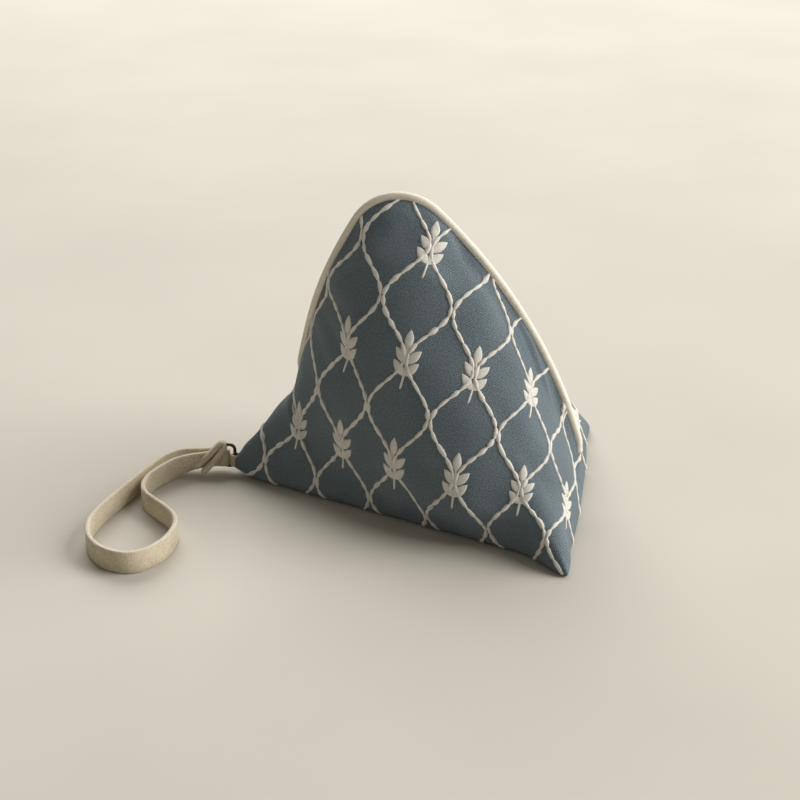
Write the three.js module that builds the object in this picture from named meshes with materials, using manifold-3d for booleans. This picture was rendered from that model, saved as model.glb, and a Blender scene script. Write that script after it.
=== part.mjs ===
import * as THREE from 'three';
import { mergeVertices } from 'three/addons/utils/BufferGeometryUtils.js';
import ManifoldModule from 'manifold-3d';

// A small zipped pouch in the shape of a tetrahedron, with a wrist strap.
// Two mirrored canvas panels stand over a flat base and meet in an arch that holds the zip.
// Millimetres. X runs from the strap corner to the end seam, Y to the back, Z up.

const wasm = await ManifoldModule();
wasm.setup();

// Arch of the zip, seen from the front: strap corner, waist, round crown, end
const tipHeight = 10.5;
const waistX = 23;
const waistHeight = 38;
const waistBend = 6;
const strapFlankRadius = 170;
const crownX = 62;
const archHeight = 110.6;
const crownRadius = 18.3;
const endFlankRadius = 184;
const archEndX = 130;
const archEndHeight = 7;

// Plan of the base: a blunt strap corner, two long folds and the end seam with its ears
const tipHalfWidth = 4.5;
const cornerX = 127;
const cornerHalfWidth = 54;
const earLength = 6;
const earShare = 0.14;
const earPower = 7;
const endBulge = 1;
const baseSeamShare = 0.86;
const baseEndSetback = 5;

// Drift of the zip to the back beside the strap corner
const zipDrift = 8;
const driftStart = 8;
const driftRise = 26;
const driftFall = 50;
const driftEnd = 85;

// Swell of the panels: full beside the strap corner, flat on the end side, drawn in above the ears
const frontStrapSpread = 88;
const backStrapSpread = 40;
const crownSpread = 14;
const endSpread = 0;
const strapSpreadFrom = 35;
const strapSpreadTo = 80;
const endSpreadRun = 30;
const ribPull = 0.34;
const footLean = 0.25;
const endLean = 0.45;
const earLean = 0.75;
const earRoundShare = 0.3;
const endRoundShare = 0.65;
const foldRadius = 4;
const tipFoldRadius = 2.4;
const earFoldRadius = 1.6;
const foldRun = 0.15;
const endFoldRun = 0.3;
const leastFold = 0.4;
const mostFoldShare = 0.6;

// Cloth
const canvasThickness = 0.9;
const liningThickness = 0.5;
const clothGap = 0.4;
const seamGap = 0.4;
const liningSetback = 30;

// Edges of the two panels beside the zip, from the arch line
const frontRimOffset = 4.6;
const frontRimDepth = 0.8;
const backRimOffset = 6.3;
const backRimDepth = 4.6;
const closedRimDepth = 1.5;
const rimOpensFrom = 27;
const rimOpensTo = 34;
const rimClosesFrom = 13;
const rimClosesTo = 6;

// Piping on the front panel's edge
const pipingStart = 38;
const pipingOffset = 2.8;
const pipingRadius = 1.25;
const pipingCoreRadius = 0.6;
const pipingBore = 0.85;

// Zip: the chain lies in a groove behind the piping and leans to the back
const chainOffset = 1;
const chainDepth = 4.2;
const chainTilt = 30;
const tapeStart = 35;
const chainStart = 41;
const chainEndSetback = 30;
const toothPitch = 2.4;
const toothLength = 0.85;
const toothReach = 0.5;
const toothRoot = 1.1;
const chainHalfWidth = 2;
const chainHalfThickness = 0.9;
const tapeThickness = 0.4;
const tapeGap = 0.3;
const tapeTurn = 4;
const frontTapeDrop = 3.2;
const backTapeReach = 5.5;
const stopLength = 2.2;
const stopOverhang = 0.4;

// Slider and pull
const sliderLength = 9;
const sliderTailHalfWidth = 3.1;
const sliderNoseHalfWidth = 3.7;
const sliderPlate = 0.9;
const sliderClearance = 0.35;
const sliderSlot = 0.5;
const sliderPost = 1.1;
const sliderPostLength = 1.5;
const sliderShoulderShare = 0.5;
const bridgeHalfSpan = 2.6;
const bridgeRise = 2.45;
const bridgeWire = 0.6;
const bridgeHalfWidth = 0.7;
const bridgeHipSpan = 0.85;
const bridgeHipRise = 0.6;
const bridgeCrownSpan = 0.46;
const pullLength = 17;
const pullWidth = 4.4;
const pullThickness = 0.9;
const pullEyeWall = 0.9;
const pullEyeLength = 2.5;
const pullWindowLength = 6;

// Ring and tab at the strap corner
const ringWireRadius = 0.6;
const ringInnerHeight = 8;
const ringInnerWidth = 3.3;
const ringCornerRadius = 1.2;
const ringHeight = 5.7;
const ringBarX = -1;
const runGap = 0.3;
const tabThickness = 0.8;
const tabWidth = 4.2;
const tabHeight = 4.4;
const tabTail = 6;

// Wrist strap: a flat strip on edge, hitched to the ring
const strapWidth = 8;
const strapThickness = 1.6;
const strapFloorGap = 0.2;
const hitchWidth = 5.2;
const hitchReach = 9.8;
const collarWidth = 4;
const collarWall = 1.5;
const collarLean = 30;
const strapRise = 1.6;
const strapRiseRun = 24;
const strapLead = 1.6;

// Middle line of the strap's loop as it lies on the table, in plan
const strapRoute = [
  [-20.4, -0.6], [-25.6, -9.5], [-29.8, -20.5], [-33.3, -33], [-35.6, -43.5], [-37, -52], [-37.1, -59.5],
  [-35.6, -66], [-32.8, -71.5], [-28.4, -76.3], [-23.2, -79.2], [-17.9, -80], [-13.6, -78.3], [-10.4, -74.3],
  [-8, -68.8], [-7.1, -62.4], [-7.6, -56], [-10, -50.5], [-14.2, -45.6], [-19.6, -40.8], [-24.2, -36.3],
  [-26.8, -31], [-27.3, -25], [-26.1, -19.3], [-23.6, -12.8], [-20.2, -6.6],
];

// Mesh density
const stationTurn = 8;
const stationStep = 14;
const driftStep = 4;
const stationSearch = 1;
const ribsToCorner = 16;
const ribsPastCorner = 12;
const facePoints = 8;
const liningTop = 1;
const basePoints = 3;
const pipeSides = 8;
const foldAngles = [45, 90];
const wireSides = 8;
const ringCornerSteps = 4;
const arcSteps = 6;
const strapSteps = 64;
const weldDistance = 1e-3;

const toRadians = THREE.MathUtils.degToRad;
const lerp = THREE.MathUtils.lerp;
const smooth = THREE.MathUtils.smoothstep;
const across = new THREE.Vector3(0, 1, 0);

// Finishes
const canvasFinish = { color: 0x55687a, roughness: 0.95, metalness: 0 };
const liningFinish = { color: 0xd9cfbb, roughness: 0.95, metalness: 0 };
const pipingFinish = { color: 0xe0d3bd, roughness: 0.9, metalness: 0 };
const cordFinish = { color: 0xe8e0d0, roughness: 0.95, metalness: 0 };
const tapeFinish = { color: 0xcabfa8, roughness: 0.9, metalness: 0 };
const brassFinish = { color: 0x8a7448, roughness: 0.4, metalness: 1 };
const ringFinish = { color: 0x4c453a, roughness: 0.45, metalness: 1 };
const strapFinish = { color: 0xc2b08c, roughness: 0.9, metalness: 0 };

const pouch = new THREE.Group();

function addPart(name, geometry, finish, parent = pouch) {
  const mesh = new THREE.Mesh(geometry, new THREE.MeshStandardMaterial(finish));
  mesh.name = name;
  parent.add(mesh);
  return mesh;
}

// A closed body from points and triangles, with its faces turned outward
function body(points, triangles) {
  let volume = 0;
  const edge = new THREE.Vector3();
  for (const [a, b, c] of triangles) {
    volume += points[a].dot(edge.crossVectors(points[b], points[c]));
  }
  const turned = volume < 0 ? triangles.map(([a, b, c]) => [a, c, b]) : triangles;
  const geometry = new THREE.BufferGeometry().setFromPoints(points);
  geometry.setIndex(turned.flat());
  geometry.computeVertexNormals();
  return geometry;
}

// Joining of bodies that are one piece
function solidOf(geometry) {
  const bare = geometry.clone();
  bare.deleteAttribute('normal');
  bare.deleteAttribute('uv');
  const merged = mergeVertices(bare, weldDistance);
  const vertProperties = new Float32Array(merged.attributes.position.array);
  const triVerts = new Uint32Array(merged.index.array);
  return new wasm.Manifold(new wasm.Mesh({ numProp: 3, vertProperties, triVerts }));
}

function joined(geometries) {
  const [first, ...others] = geometries.map(solidOf);
  const mesh = others.reduce((sum, other) => sum.add(other), first).getMesh();
  const geometry = new THREE.BufferGeometry();
  geometry.setAttribute('position', new THREE.BufferAttribute(new Float32Array(mesh.vertProperties), 3));
  geometry.setIndex(Array.from(mesh.triVerts));
  geometry.computeVertexNormals();
  return geometry;
}

// The arch line

const crown = new THREE.Vector2(crownX, archHeight - crownRadius);
const waist = new THREE.Vector2(waistX, waistHeight);
const archEnd = new THREE.Vector2(archEndX, archEndHeight);
const tip = new THREE.Vector2(0, tipHeight);

// Centre of a flank's circle, which passes through a point and touches the crown's circle from outside
function flankCentre(point, radius, side) {
  const toCrown = crown.clone().sub(point);
  const gap = toCrown.length();
  const along = (radius ** 2 - (radius - crownRadius) ** 2 + gap ** 2) / (2 * gap);
  const aside = side * Math.sqrt(radius ** 2 - along ** 2);
  const forward = toCrown.divideScalar(gap);
  return new THREE.Vector2(
    point.x + forward.x * along - forward.y * aside,
    point.y + forward.y * along + forward.x * aside,
  );
}

const strapFlankCentre = flankCentre(waist, strapFlankRadius, -1);
const endFlankCentre = flankCentre(archEnd, endFlankRadius, 1);

function arcOf(centre, radius, from, to) {
  const start = from.clone().sub(centre).angle();
  const end = to.clone().sub(centre).angle();
  return new THREE.EllipseCurve(centre.x, centre.y, radius, radius, start, end, true);
}

function crownTouch(centre) {
  return crown.clone().sub(centre).setLength(crownRadius).add(crown);
}

const waistRadius = waist.clone().sub(strapFlankCentre);
const waistAlong = waistRadius.rotateAround(new THREE.Vector2(), -Math.PI / 2).normalize();
const waistPull = waist.clone().addScaledVector(waistAlong, -waistBend);
const arch = new THREE.CurvePath();
arch.add(new THREE.QuadraticBezierCurve(tip, waistPull, waist));
arch.add(arcOf(strapFlankCentre, strapFlankRadius, waist, crownTouch(strapFlankCentre)));
arch.add(arcOf(crown, crownRadius, crownTouch(strapFlankCentre), crownTouch(endFlankCentre)));
arch.add(arcOf(endFlankCentre, endFlankRadius, crownTouch(endFlankCentre), archEnd));
const archLength = arch.getLength();
const [, crownStart, crownEnd] = arch.getCurveLengths();
const cornerRib = (crownStart + crownEnd) / 2;

// Axes of the arch at a distance along it: along the zip and outward, both in the mirror plane
function archAxes(distance) {
  const share = THREE.MathUtils.clamp(distance / archLength, 0, 1);
  const point = arch.getPoint(share);
  const tangent = arch.getTangent(share);
  return {
    point: new THREE.Vector3(point.x, 0, point.y),
    along: new THREE.Vector3(tangent.x, 0, tangent.y),
    out: new THREE.Vector3(-tangent.y, 0, tangent.x),
  };
}

function driftAt(distance) {
  return zipDrift * smooth(distance, driftStart, driftRise) * (1 - smooth(distance, driftFall, driftEnd));
}

function besideArch(distance, offset, outward) {
  const { point, out } = archAxes(distance);
  return point.addScaledVector(across, driftAt(distance) + offset).addScaledVector(out, outward);
}

// Axes of the zip, which lean to the back: aside across the chain and up from it
const tilt = toRadians(chainTilt);

function zipAxes(distance) {
  const { along, out } = archAxes(distance);
  const aside = across.clone().multiplyScalar(Math.cos(tilt)).addScaledVector(out, -Math.sin(tilt));
  const up = across.clone().multiplyScalar(Math.sin(tilt)).addScaledVector(out, Math.cos(tilt));
  return { along, aside, up, centre: besideArch(distance, chainOffset, -chainDepth) };
}

function besideChain(distance, aside, up) {
  const axes = zipAxes(distance);
  return axes.centre.addScaledVector(axes.aside, aside).addScaledVector(axes.up, up);
}

// Stations along the arch, close where it turns and wide where it runs straight
function stationsBetween(from, to) {
  const stations = [from];
  let last = archAxes(from).along;
  for (let distance = from + stationSearch; distance < to - stationSearch; distance += stationSearch) {
    const { along } = archAxes(distance);
    const turned = along.angleTo(last) > toRadians(stationTurn);
    const step = distance < driftEnd ? driftStep : stationStep;
    if (turned || distance - stations.at(-1) > step) {
      stations.push(distance);
      last = along;
    }
  }
  stations.push(to);
  return stations;
}

// A section carried along the arch, with flat ends and, if given, a bore
function sweep(section, stations, locate, bore = []) {
  const rings = [...section, ...bore];
  const points = stations.flatMap((distance) => rings.map(({ x, y }) => locate(distance, x, y)));
  const triangles = [];
  const loops = [[0, section.length], [section.length, bore.length]];
  for (let row = 0; row + 1 < stations.length; row += 1) {
    for (const [first, count] of loops) {
      for (let k = 0; k < count; k += 1) {
        const a = row * rings.length + first + k;
        const b = row * rings.length + first + ((k + 1) % count);
        triangles.push([a, a + rings.length, b], [b, a + rings.length, b + rings.length]);
      }
    }
  }
  const end = (stations.length - 1) * rings.length;
  for (const [a, b, c] of THREE.ShapeUtils.triangulateShape(section, bore.length ? [bore] : [])) {
    triangles.push([a, b, c], [end + a, end + c, end + b]);
  }
  return body(points, triangles);
}

function roundSection(centreX, centreY, radius, sides, turn) {
  const section = [];
  for (let k = 0; k < sides; k += 1) {
    const angle = (turn * 2 * Math.PI * (k + 0.5)) / sides;
    section.push(new THREE.Vector2(centreX + radius * Math.cos(angle), centreY + radius * Math.sin(angle)));
  }
  return section;
}

function boxSection(left, right, low, high) {
  return [[left, low], [right, low], [right, high], [left, high]].map(([x, y]) => new THREE.Vector2(x, y));
}

// Canvas panels and lining

// Edge of a panel beside the zip: it draws in to the mirror plane at both ends of the arch
function rimPoint(side, distance) {
  const opening = smooth(distance, rimOpensFrom, rimOpensTo);
  const closing = 1 - smooth(distance, archLength - rimClosesFrom, archLength - rimClosesTo);
  const open = opening * closing;
  const offset = lerp(seamGap / 2, side < 0 ? frontRimOffset : backRimOffset, open);
  const depth = lerp(closedRimDepth, side < 0 ? frontRimDepth : backRimDepth, open);
  return besideArch(distance, side * offset, -depth);
}

// Outline of the base in plan: 0 at the strap corner, 1 at the ear, 2 at the middle of the end seam
function outlinePoint(g, ear) {
  if (g <= 1) {
    const flare = ear * smooth(g, 1 - earShare, 1);
    return new THREE.Vector2(cornerX * g, lerp(tipHalfWidth, cornerHalfWidth, g) + flare);
  }
  const share = g - 1;
  const x = lerp(cornerX, archEndX, share) + endBulge * Math.sin(Math.PI * share);
  return new THREE.Vector2(x, lerp(cornerHalfWidth + ear, seamGap / 2, share));
}

// Outline moved inward by the cloth's inset, with a mitre at the ear
function insetOutline(g, ear, inset) {
  const step = 0.01;
  const inwards = (from, to) => {
    const run = outlinePoint(to, ear).sub(outlinePoint(from, ear)).normalize();
    return new THREE.Vector2(run.y, -run.x).multiplyScalar(-1);
  };
  const before = inwards(Math.max(g - step, 0), g > 0 ? g : step);
  const after = inwards(g < 2 ? g : 2 - step, Math.min(g + step, 2));
  const mitre = before.clone().add(after).divideScalar(1 + before.dot(after));
  return outlinePoint(g, ear).addScaledVector(mitre, -inset);
}

function foldAt(g) {
  const fromTip = lerp(tipFoldRadius, foldRadius, smooth(g, 0, foldRun));
  const atEar = smooth(Math.abs(g - 1), 0, foldRun);
  const atEnd = lerp(foldRadius, tipFoldRadius, smooth(g, 1, 1 + endFoldRun));
  return lerp(earFoldRadius, g < 1 ? fromTip : atEnd, atEar);
}

// How far a rib leaves the zip aside of its straight line, and how far it leans in at its foot
function spreadAt(side, distance) {
  const strapSpread = side < 0 ? frontStrapSpread : backStrapSpread;
  const toCrown = lerp(strapSpread, crownSpread, smooth(distance, strapSpreadFrom, strapSpreadTo));
  return lerp(toCrown, endSpread, smooth(distance, cornerRib, cornerRib + endSpreadRun));
}

function leanAt(g) {
  const plain = lerp(footLean, endLean, smooth(g, 1 - earRoundShare, 1 + endRoundShare));
  const away = g < 1 ? (1 - g) / earRoundShare : (g - 1) / endRoundShare;
  return lerp(plain, earLean, (1 - Math.min(away, 1)) ** 2);
}

// One rib of a panel: from its edge at the zip, over the swell and the fold, to the base seam
function rib(side, distance, inset, ear, firstPoint) {
  const g = distance < cornerRib
    ? distance / cornerRib
    : 1 + (distance - cornerRib) / (archLength - cornerRib);
  const { along, out } = archAxes(distance);
  const inward = out.clone().negate();
  const sideways = across.clone().multiplyScalar(side);
  const plan = insetOutline(g, 0, inset);
  const flared = insetOutline(g, ear, inset).sub(plan);
  const flare = new THREE.Vector3(flared.x, side * flared.y, 0);
  const fold = Math.max(foldAt(g), inset + leastFold);
  const foot = new THREE.Vector3(plan.x, side * Math.max(plan.y, seamGap / 2), fold);
  const rim = rimPoint(side, distance);

  const reach = foot.clone().sub(rim);
  const length = reach.length();
  const straight = Math.atan2(reach.dot(sideways), reach.dot(inward));
  const spread = straight + toRadians(spreadAt(side, distance));
  const level = Math.hypot(reach.dot(sideways), reach.dot(inward));
  const leave = inward.clone().multiplyScalar(level * Math.cos(spread))
    .addScaledVector(sideways, level * Math.sin(spread))
    .addScaledVector(along, reach.dot(along))
    .normalize();
  const under = inward.clone().multiplyScalar(Math.sin(spread)).addScaledVector(sideways, -Math.cos(spread));
  const start = rim.addScaledVector(under, inset);
  const seamY = driftAt(distance);
  start.y = seamY + side * Math.max(side * (start.y - seamY), seamGap / 2);

  const lean = new THREE.Vector3(-reach.x, -reach.y, 0).setLength(leanAt(g)).setZ(1).normalize();
  const face = new THREE.CubicBezierCurve3(
    start,
    start.clone().addScaledVector(leave, length * ribPull),
    foot.clone().addScaledVector(lean, length * ribPull),
    foot,
  );
  const points = [];
  for (let k = firstPoint; k <= facePoints; k += 1) {
    const share = k / facePoints;
    points.push(face.getPoint(share).addScaledVector(flare, share ** earPower));
  }
  foot.add(flare);

  const seamX = g <= 1
    ? baseSeamShare * cornerX * g
    : lerp(baseSeamShare * cornerX, archEndX - baseEndSetback, g - 1);
  const seam = new THREE.Vector3(seamX, side * seamGap / 2, 0);
  const home = seam.clone().sub(foot).setZ(0);
  const homeLength = home.length();
  home.normalize();
  const round = Math.min(fold - inset, homeLength * mostFoldShare);
  for (const angle of foldAngles.map(toRadians)) {
    const turned = foot.clone().addScaledVector(home, round * (1 - Math.cos(angle)));
    points.push(turned.setZ(fold - round * Math.sin(angle)));
  }
  const flat = points.at(-1).clone();
  for (let k = 1; k <= basePoints; k += 1) {
    points.push(flat.clone().lerp(seam.clone().setZ(flat.z), k / basePoints));
  }
  return points;
}

// A cloth wall between two inset surfaces of the same ribs
function clothWall(side, distances, outerInset, innerInset, ear, firstPoint) {
  const outer = distances.map((distance) => rib(side, distance, outerInset, ear, firstPoint));
  const inner = distances.map((distance) => rib(side, distance, innerInset, ear, firstPoint));
  const rows = outer.length;
  const columns = outer[0].length;
  const lastRow = rows - 1;
  const last = columns - 1;
  const points = [...outer.flat(), ...inner.flat()];
  const at = (layer, row, column) => layer * rows * columns + row * columns + column;
  const triangles = [];
  const quad = (a, b, c, d) => triangles.push([a, b, c], [a, c, d]);
  for (let row = 0; row + 1 < rows; row += 1) {
    for (let column = 0; column + 1 < columns; column += 1) {
      quad(at(0, row, column), at(0, row + 1, column), at(0, row + 1, column + 1), at(0, row, column + 1));
      quad(at(1, row, column), at(1, row, column + 1), at(1, row + 1, column + 1), at(1, row + 1, column));
    }
    quad(at(0, row, 0), at(1, row, 0), at(1, row + 1, 0), at(0, row + 1, 0));
    quad(at(0, row, last), at(0, row + 1, last), at(1, row + 1, last), at(1, row, last));
  }
  for (let column = 0; column + 1 < columns; column += 1) {
    const next = column + 1;
    quad(at(0, 0, column), at(0, 0, next), at(1, 0, next), at(1, 0, column));
    quad(at(0, lastRow, column), at(1, lastRow, column), at(1, lastRow, next), at(0, lastRow, next));
  }
  return body(points, triangles);
}

const panelRibs = [];
for (let k = 0; k <= ribsToCorner; k += 1) {
  panelRibs.push((cornerRib * k) / ribsToCorner);
}
for (let k = 1; k <= ribsPastCorner; k += 1) {
  panelRibs.push(lerp(cornerRib, archLength, k / ribsPastCorner));
}
const liningEnd = archLength - liningSetback;
const liningRibs = panelRibs.filter((distance) => distance > liningSetback && distance < liningEnd);
const liningInset = canvasThickness + clothGap;
for (const [name, side] of [['front', -1], ['back', 1]]) {
  addPart(`${name}_panel`, clothWall(side, panelRibs, 0, canvasThickness, earLength, 0), canvasFinish);
  const lining = clothWall(side, liningRibs, liningInset, liningInset + liningThickness, 0, liningTop);
  addPart(`${name}_lining`, lining, liningFinish);
}

// Piping: a cotton cord in a bias-cut cover

const pipingStations = stationsBetween(pipingStart, archLength - rimClosesFrom);
const pipingSkin = roundSection(-pipingOffset, 0, pipingRadius, pipeSides, 1);
const pipingHole = roundSection(-pipingOffset, 0, pipingBore, pipeSides, -1);
const pipingCord = roundSection(-pipingOffset, 0, pipingCoreRadius, pipeSides, 1);
addPart('piping_cover', sweep(pipingSkin, pipingStations, besideArch, pipingHole), pipingFinish);
addPart('piping_core', sweep(pipingCord, pipingStations, besideArch), cordFinish);

// Zip tapes, chain and stops

const tapeStations = stationsBetween(tapeStart, archLength - rimClosesFrom);
const tapeEdge = chainHalfWidth + tapeGap;
const halfTape = tapeThickness / 2;
const frontTape = [
  new THREE.Vector2(-tapeEdge, -halfTape),
  new THREE.Vector2(-tapeEdge, halfTape),
  new THREE.Vector2(-tapeTurn, halfTape),
  new THREE.Vector2(-tapeTurn - halfTape, -frontTapeDrop),
  new THREE.Vector2(-tapeTurn - halfTape + tapeThickness, -frontTapeDrop),
  new THREE.Vector2(-tapeTurn + halfTape, -halfTape),
];
const backTape = boxSection(tapeEdge, backTapeReach, -halfTape, halfTape);
addPart('zip_tape_front', sweep(frontTape, tapeStations, besideChain), tapeFinish);
addPart('zip_tape_back', sweep(backTape, tapeStations, besideChain), tapeFinish);

const chainEnd = archLength - chainEndSetback;
const lastTooth = chainEnd - sliderPostLength - runGap;
const toothCount = Math.floor((lastTooth - chainStart) / toothPitch);

// One row of teeth on its beaded edge: the teeth reach past the middle into the other row's gaps
function toothRow(side, shift) {
  const runs = [[chainStart, toothRoot]];
  for (let k = 0; k < toothCount; k += 1) {
    const begin = chainStart + shift + k * toothPitch;
    runs.push([begin, -toothReach], [begin + toothLength, toothRoot]);
  }
  const points = [];
  const triangles = [];
  const quad = (a, b, c, d) => triangles.push([a, b, c], [a, c, d]);
  const corners = (distance, edge) => {
    const first = points.length;
    for (const up of [-chainHalfThickness, chainHalfThickness]) {
      points.push(besideChain(distance, side * edge, up));
      points.push(besideChain(distance, side * toothRoot, up));
      points.push(besideChain(distance, side * chainHalfWidth, up));
    }
    return first;
  };
  runs.forEach(([begin, edge], index) => {
    const end = index + 1 < runs.length ? runs[index + 1][0] : chainEnd;
    const a = corners(begin, edge);
    const b = corners(end, edge);
    const isTooth = edge !== toothRoot;
    quad(a + 1, b + 1, b + 2, a + 2);
    quad(a + 4, a + 5, b + 5, b + 4);
    quad(a + 2, b + 2, b + 5, a + 5);
    if (isTooth) {
      quad(a, b, b + 1, a + 1);
      quad(a + 3, a + 4, b + 4, b + 3);
      quad(a, a + 3, b + 3, b);
      quad(a, a + 1, a + 4, a + 3);
      quad(b, b + 3, b + 4, b + 1);
    } else {
      quad(a + 1, a + 4, b + 4, b + 1);
    }
    if (index === 0) {
      quad(a + 1, a + 2, a + 5, a + 4);
    }
    if (index + 1 === runs.length) {
      quad(b + 1, b + 4, b + 5, b + 2);
    }
  });
  const row = body(points, triangles);
  row.deleteAttribute('normal');
  const merged = mergeVertices(row, weldDistance);
  merged.computeVertexNormals();
  return merged;
}

addPart('zip_teeth_front', toothRow(-1, toothPitch / 4), brassFinish);
addPart('zip_teeth_back', toothRow(1, (toothPitch * 3) / 4), brassFinish);

const stopHalfWidth = chainHalfWidth + tapeGap / 2;
const stopHalfThickness = chainHalfThickness + stopOverhang;
const bottomStopStations = [chainStart - runGap - stopLength, chainStart - runGap];
const topStopStations = [chainEnd + runGap, chainEnd + runGap + stopLength];
const bottomStop = boxSection(-stopHalfWidth, stopHalfWidth, -stopHalfThickness, stopHalfThickness);
addPart('zip_bottom_stop', sweep(bottomStop, bottomStopStations, besideChain), brassFinish);
const topStop = boxSection(toothRoot - stopOverhang, stopHalfWidth, -stopHalfThickness, stopHalfThickness);
const mirrored = (section) => section.map(({ x, y }) => new THREE.Vector2(-x, y)).reverse();
addPart('zip_top_stop_front', sweep(mirrored(topStop), topStopStations, besideChain), brassFinish);
addPart('zip_top_stop_back', sweep(topStop, topStopStations, besideChain), brassFinish);

// Slider, in its own axes: X along the zip towards the closed end, Y across the chain, Z up from it

function extrudedAlong(shape, height, base) {
  const settings = { depth: height, bevelEnabled: false, curveSegments: arcSteps };
  const geometry = new THREE.ExtrudeGeometry(shape, settings);
  return geometry.translate(0, 0, base);
}

const sliderPlateBase = chainHalfThickness + sliderClearance;
const sliderTop = sliderPlateBase + sliderPlate;
const halfSlider = sliderLength / 2;
const sliderShoulder = halfSlider * sliderShoulderShare;
const flangeInside = chainHalfWidth + tapeGap;

function sliderOutline() {
  const shape = new THREE.Shape();
  shape.moveTo(-halfSlider, -sliderTailHalfWidth);
  shape.lineTo(0, -sliderTailHalfWidth);
  shape.lineTo(sliderShoulder, -sliderNoseHalfWidth);
  shape.quadraticCurveTo(halfSlider, -sliderNoseHalfWidth, halfSlider, -sliderPost);
  shape.lineTo(halfSlider, sliderPost);
  shape.quadraticCurveTo(halfSlider, sliderNoseHalfWidth, sliderShoulder, sliderNoseHalfWidth);
  shape.lineTo(0, sliderTailHalfWidth);
  shape.lineTo(-halfSlider, sliderTailHalfWidth);
  shape.closePath();
  return shape;
}

function flangeOutline(side) {
  const shape = new THREE.Shape();
  shape.moveTo(-halfSlider, side * flangeInside);
  shape.lineTo(sliderShoulder, side * flangeInside);
  shape.lineTo(sliderShoulder, side * sliderNoseHalfWidth);
  shape.lineTo(0, side * sliderTailHalfWidth);
  shape.lineTo(-halfSlider, side * sliderTailHalfWidth);
  shape.closePath();
  return shape;
}

// Wedge between the two rows, just past the last teeth
function postOutline() {
  const shape = new THREE.Shape();
  shape.moveTo(halfSlider - sliderPostLength, 0);
  shape.lineTo(halfSlider - sliderPostLength / 2, -sliderPost / 2);
  shape.lineTo(halfSlider, 0);
  shape.lineTo(halfSlider - sliderPostLength / 2, sliderPost / 2);
  shape.closePath();
  return shape;
}

// Bridge that holds the pull, drawn along the slider and standing on the top plate
const bridgeTop = sliderTop + bridgeRise;

function bridgeArch(halfSpan, top) {
  const hip = lerp(sliderTop, top, bridgeHipRise);
  return [
    [-halfSpan, sliderTop],
    [-halfSpan * bridgeHipSpan, hip],
    [-halfSpan * bridgeCrownSpan, top],
    [halfSpan * bridgeCrownSpan, top],
    [halfSpan * bridgeHipSpan, hip],
    [halfSpan, sliderTop],
  ].map(([x, y]) => new THREE.Vector2(x, y));
}

function bridgeBody() {
  const sunk = sliderPlate / 2;
  const outer = bridgeArch(bridgeHalfSpan, bridgeTop);
  const inner = bridgeArch(bridgeHalfSpan - bridgeWire, bridgeTop - bridgeWire).reverse();
  const foot = (x) => new THREE.Vector2(x, sliderTop - sunk);
  const innerSpan = bridgeHalfSpan - bridgeWire;
  const shape = new THREE.Shape([
    foot(-bridgeHalfSpan), ...outer, foot(bridgeHalfSpan), foot(innerSpan), ...inner, foot(-innerSpan),
  ]);
  const geometry = extrudedAlong(shape, 2 * bridgeHalfWidth, -bridgeHalfWidth);
  return geometry.rotateX(Math.PI / 2);
}

function sliderBody() {
  const flangeHeight = sliderTop - sliderSlot;
  const pieces = [
    extrudedAlong(sliderOutline(), sliderPlate, sliderPlateBase),
    extrudedAlong(sliderOutline(), sliderPlate, -sliderTop),
    extrudedAlong(postOutline(), 2 * sliderPlateBase + sliderPlate, -sliderPlateBase - sliderPlate / 2),
    bridgeBody(),
  ];
  for (const side of [-1, 1]) {
    pieces.push(extrudedAlong(flangeOutline(side), flangeHeight, sliderSlot));
    pieces.push(extrudedAlong(flangeOutline(side), flangeHeight, -sliderTop));
  }
  return joined(pieces);
}

// The slider's nose stands at the end of the chain, against the top stops
const sliderAt = chainEnd - halfSlider;

function zipGroup(distance) {
  const { along, aside, up, centre } = zipAxes(distance);
  const group = new THREE.Group();
  group.matrixAutoUpdate = false;
  group.matrix.makeBasis(along, aside, up).setPosition(centre);
  pouch.add(group);
  return group;
}

const sliderGroup = zipGroup(sliderAt);
addPart('zip_slider', sliderBody(), brassFinish, sliderGroup);

// Pull: a flat tongue whose crossbar turns under the bridge
const pullPivotHeight = sliderTop + runGap + pullThickness * Math.SQRT1_2;

function pullBody() {
  const half = pullWidth / 2;
  const back = -pullThickness / 2;
  const shape = new THREE.Shape();
  shape.moveTo(back, -half + pullEyeWall / 2);
  shape.lineTo(back, half - pullEyeWall / 2);
  shape.lineTo(back + pullEyeWall / 2, half);
  shape.lineTo(pullLength - half, half);
  shape.absarc(pullLength - half, 0, half, Math.PI / 2, -Math.PI / 2, true);
  shape.lineTo(back + pullEyeWall / 2, -half);
  shape.closePath();
  const eyeHalf = half - pullEyeWall;
  const eyeStart = pullThickness / 2;
  shape.holes.push(new THREE.Path(boxSection(eyeStart, eyeStart + pullEyeLength, -eyeHalf, eyeHalf)));
  const windowStart = eyeStart + pullEyeLength + 2 * pullEyeWall;
  const slot = new THREE.Path();
  slot.absarc(windowStart + pullWindowLength - eyeHalf, 0, eyeHalf, -Math.PI / 2, Math.PI / 2, false);
  slot.absarc(windowStart + eyeHalf, 0, eyeHalf, Math.PI / 2, (Math.PI * 3) / 2, false);
  shape.holes.push(slot);
  return extrudedAlong(shape, pullThickness, -pullThickness / 2);
}

const pull = addPart('zip_pull', pullBody(), brassFinish, sliderGroup);
pull.position.z = pullPivotHeight;

// Ring at the strap corner: a rounded oblong of wire that stands upright and turns on its inner bar

const ringRight = ringBarX;
const ringLeft = ringBarX - ringInnerWidth - 2 * ringWireRadius;
const ringHalfHeight = ringInnerHeight / 2 + ringWireRadius;
const ringBend = ringCornerRadius + ringWireRadius;

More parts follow.
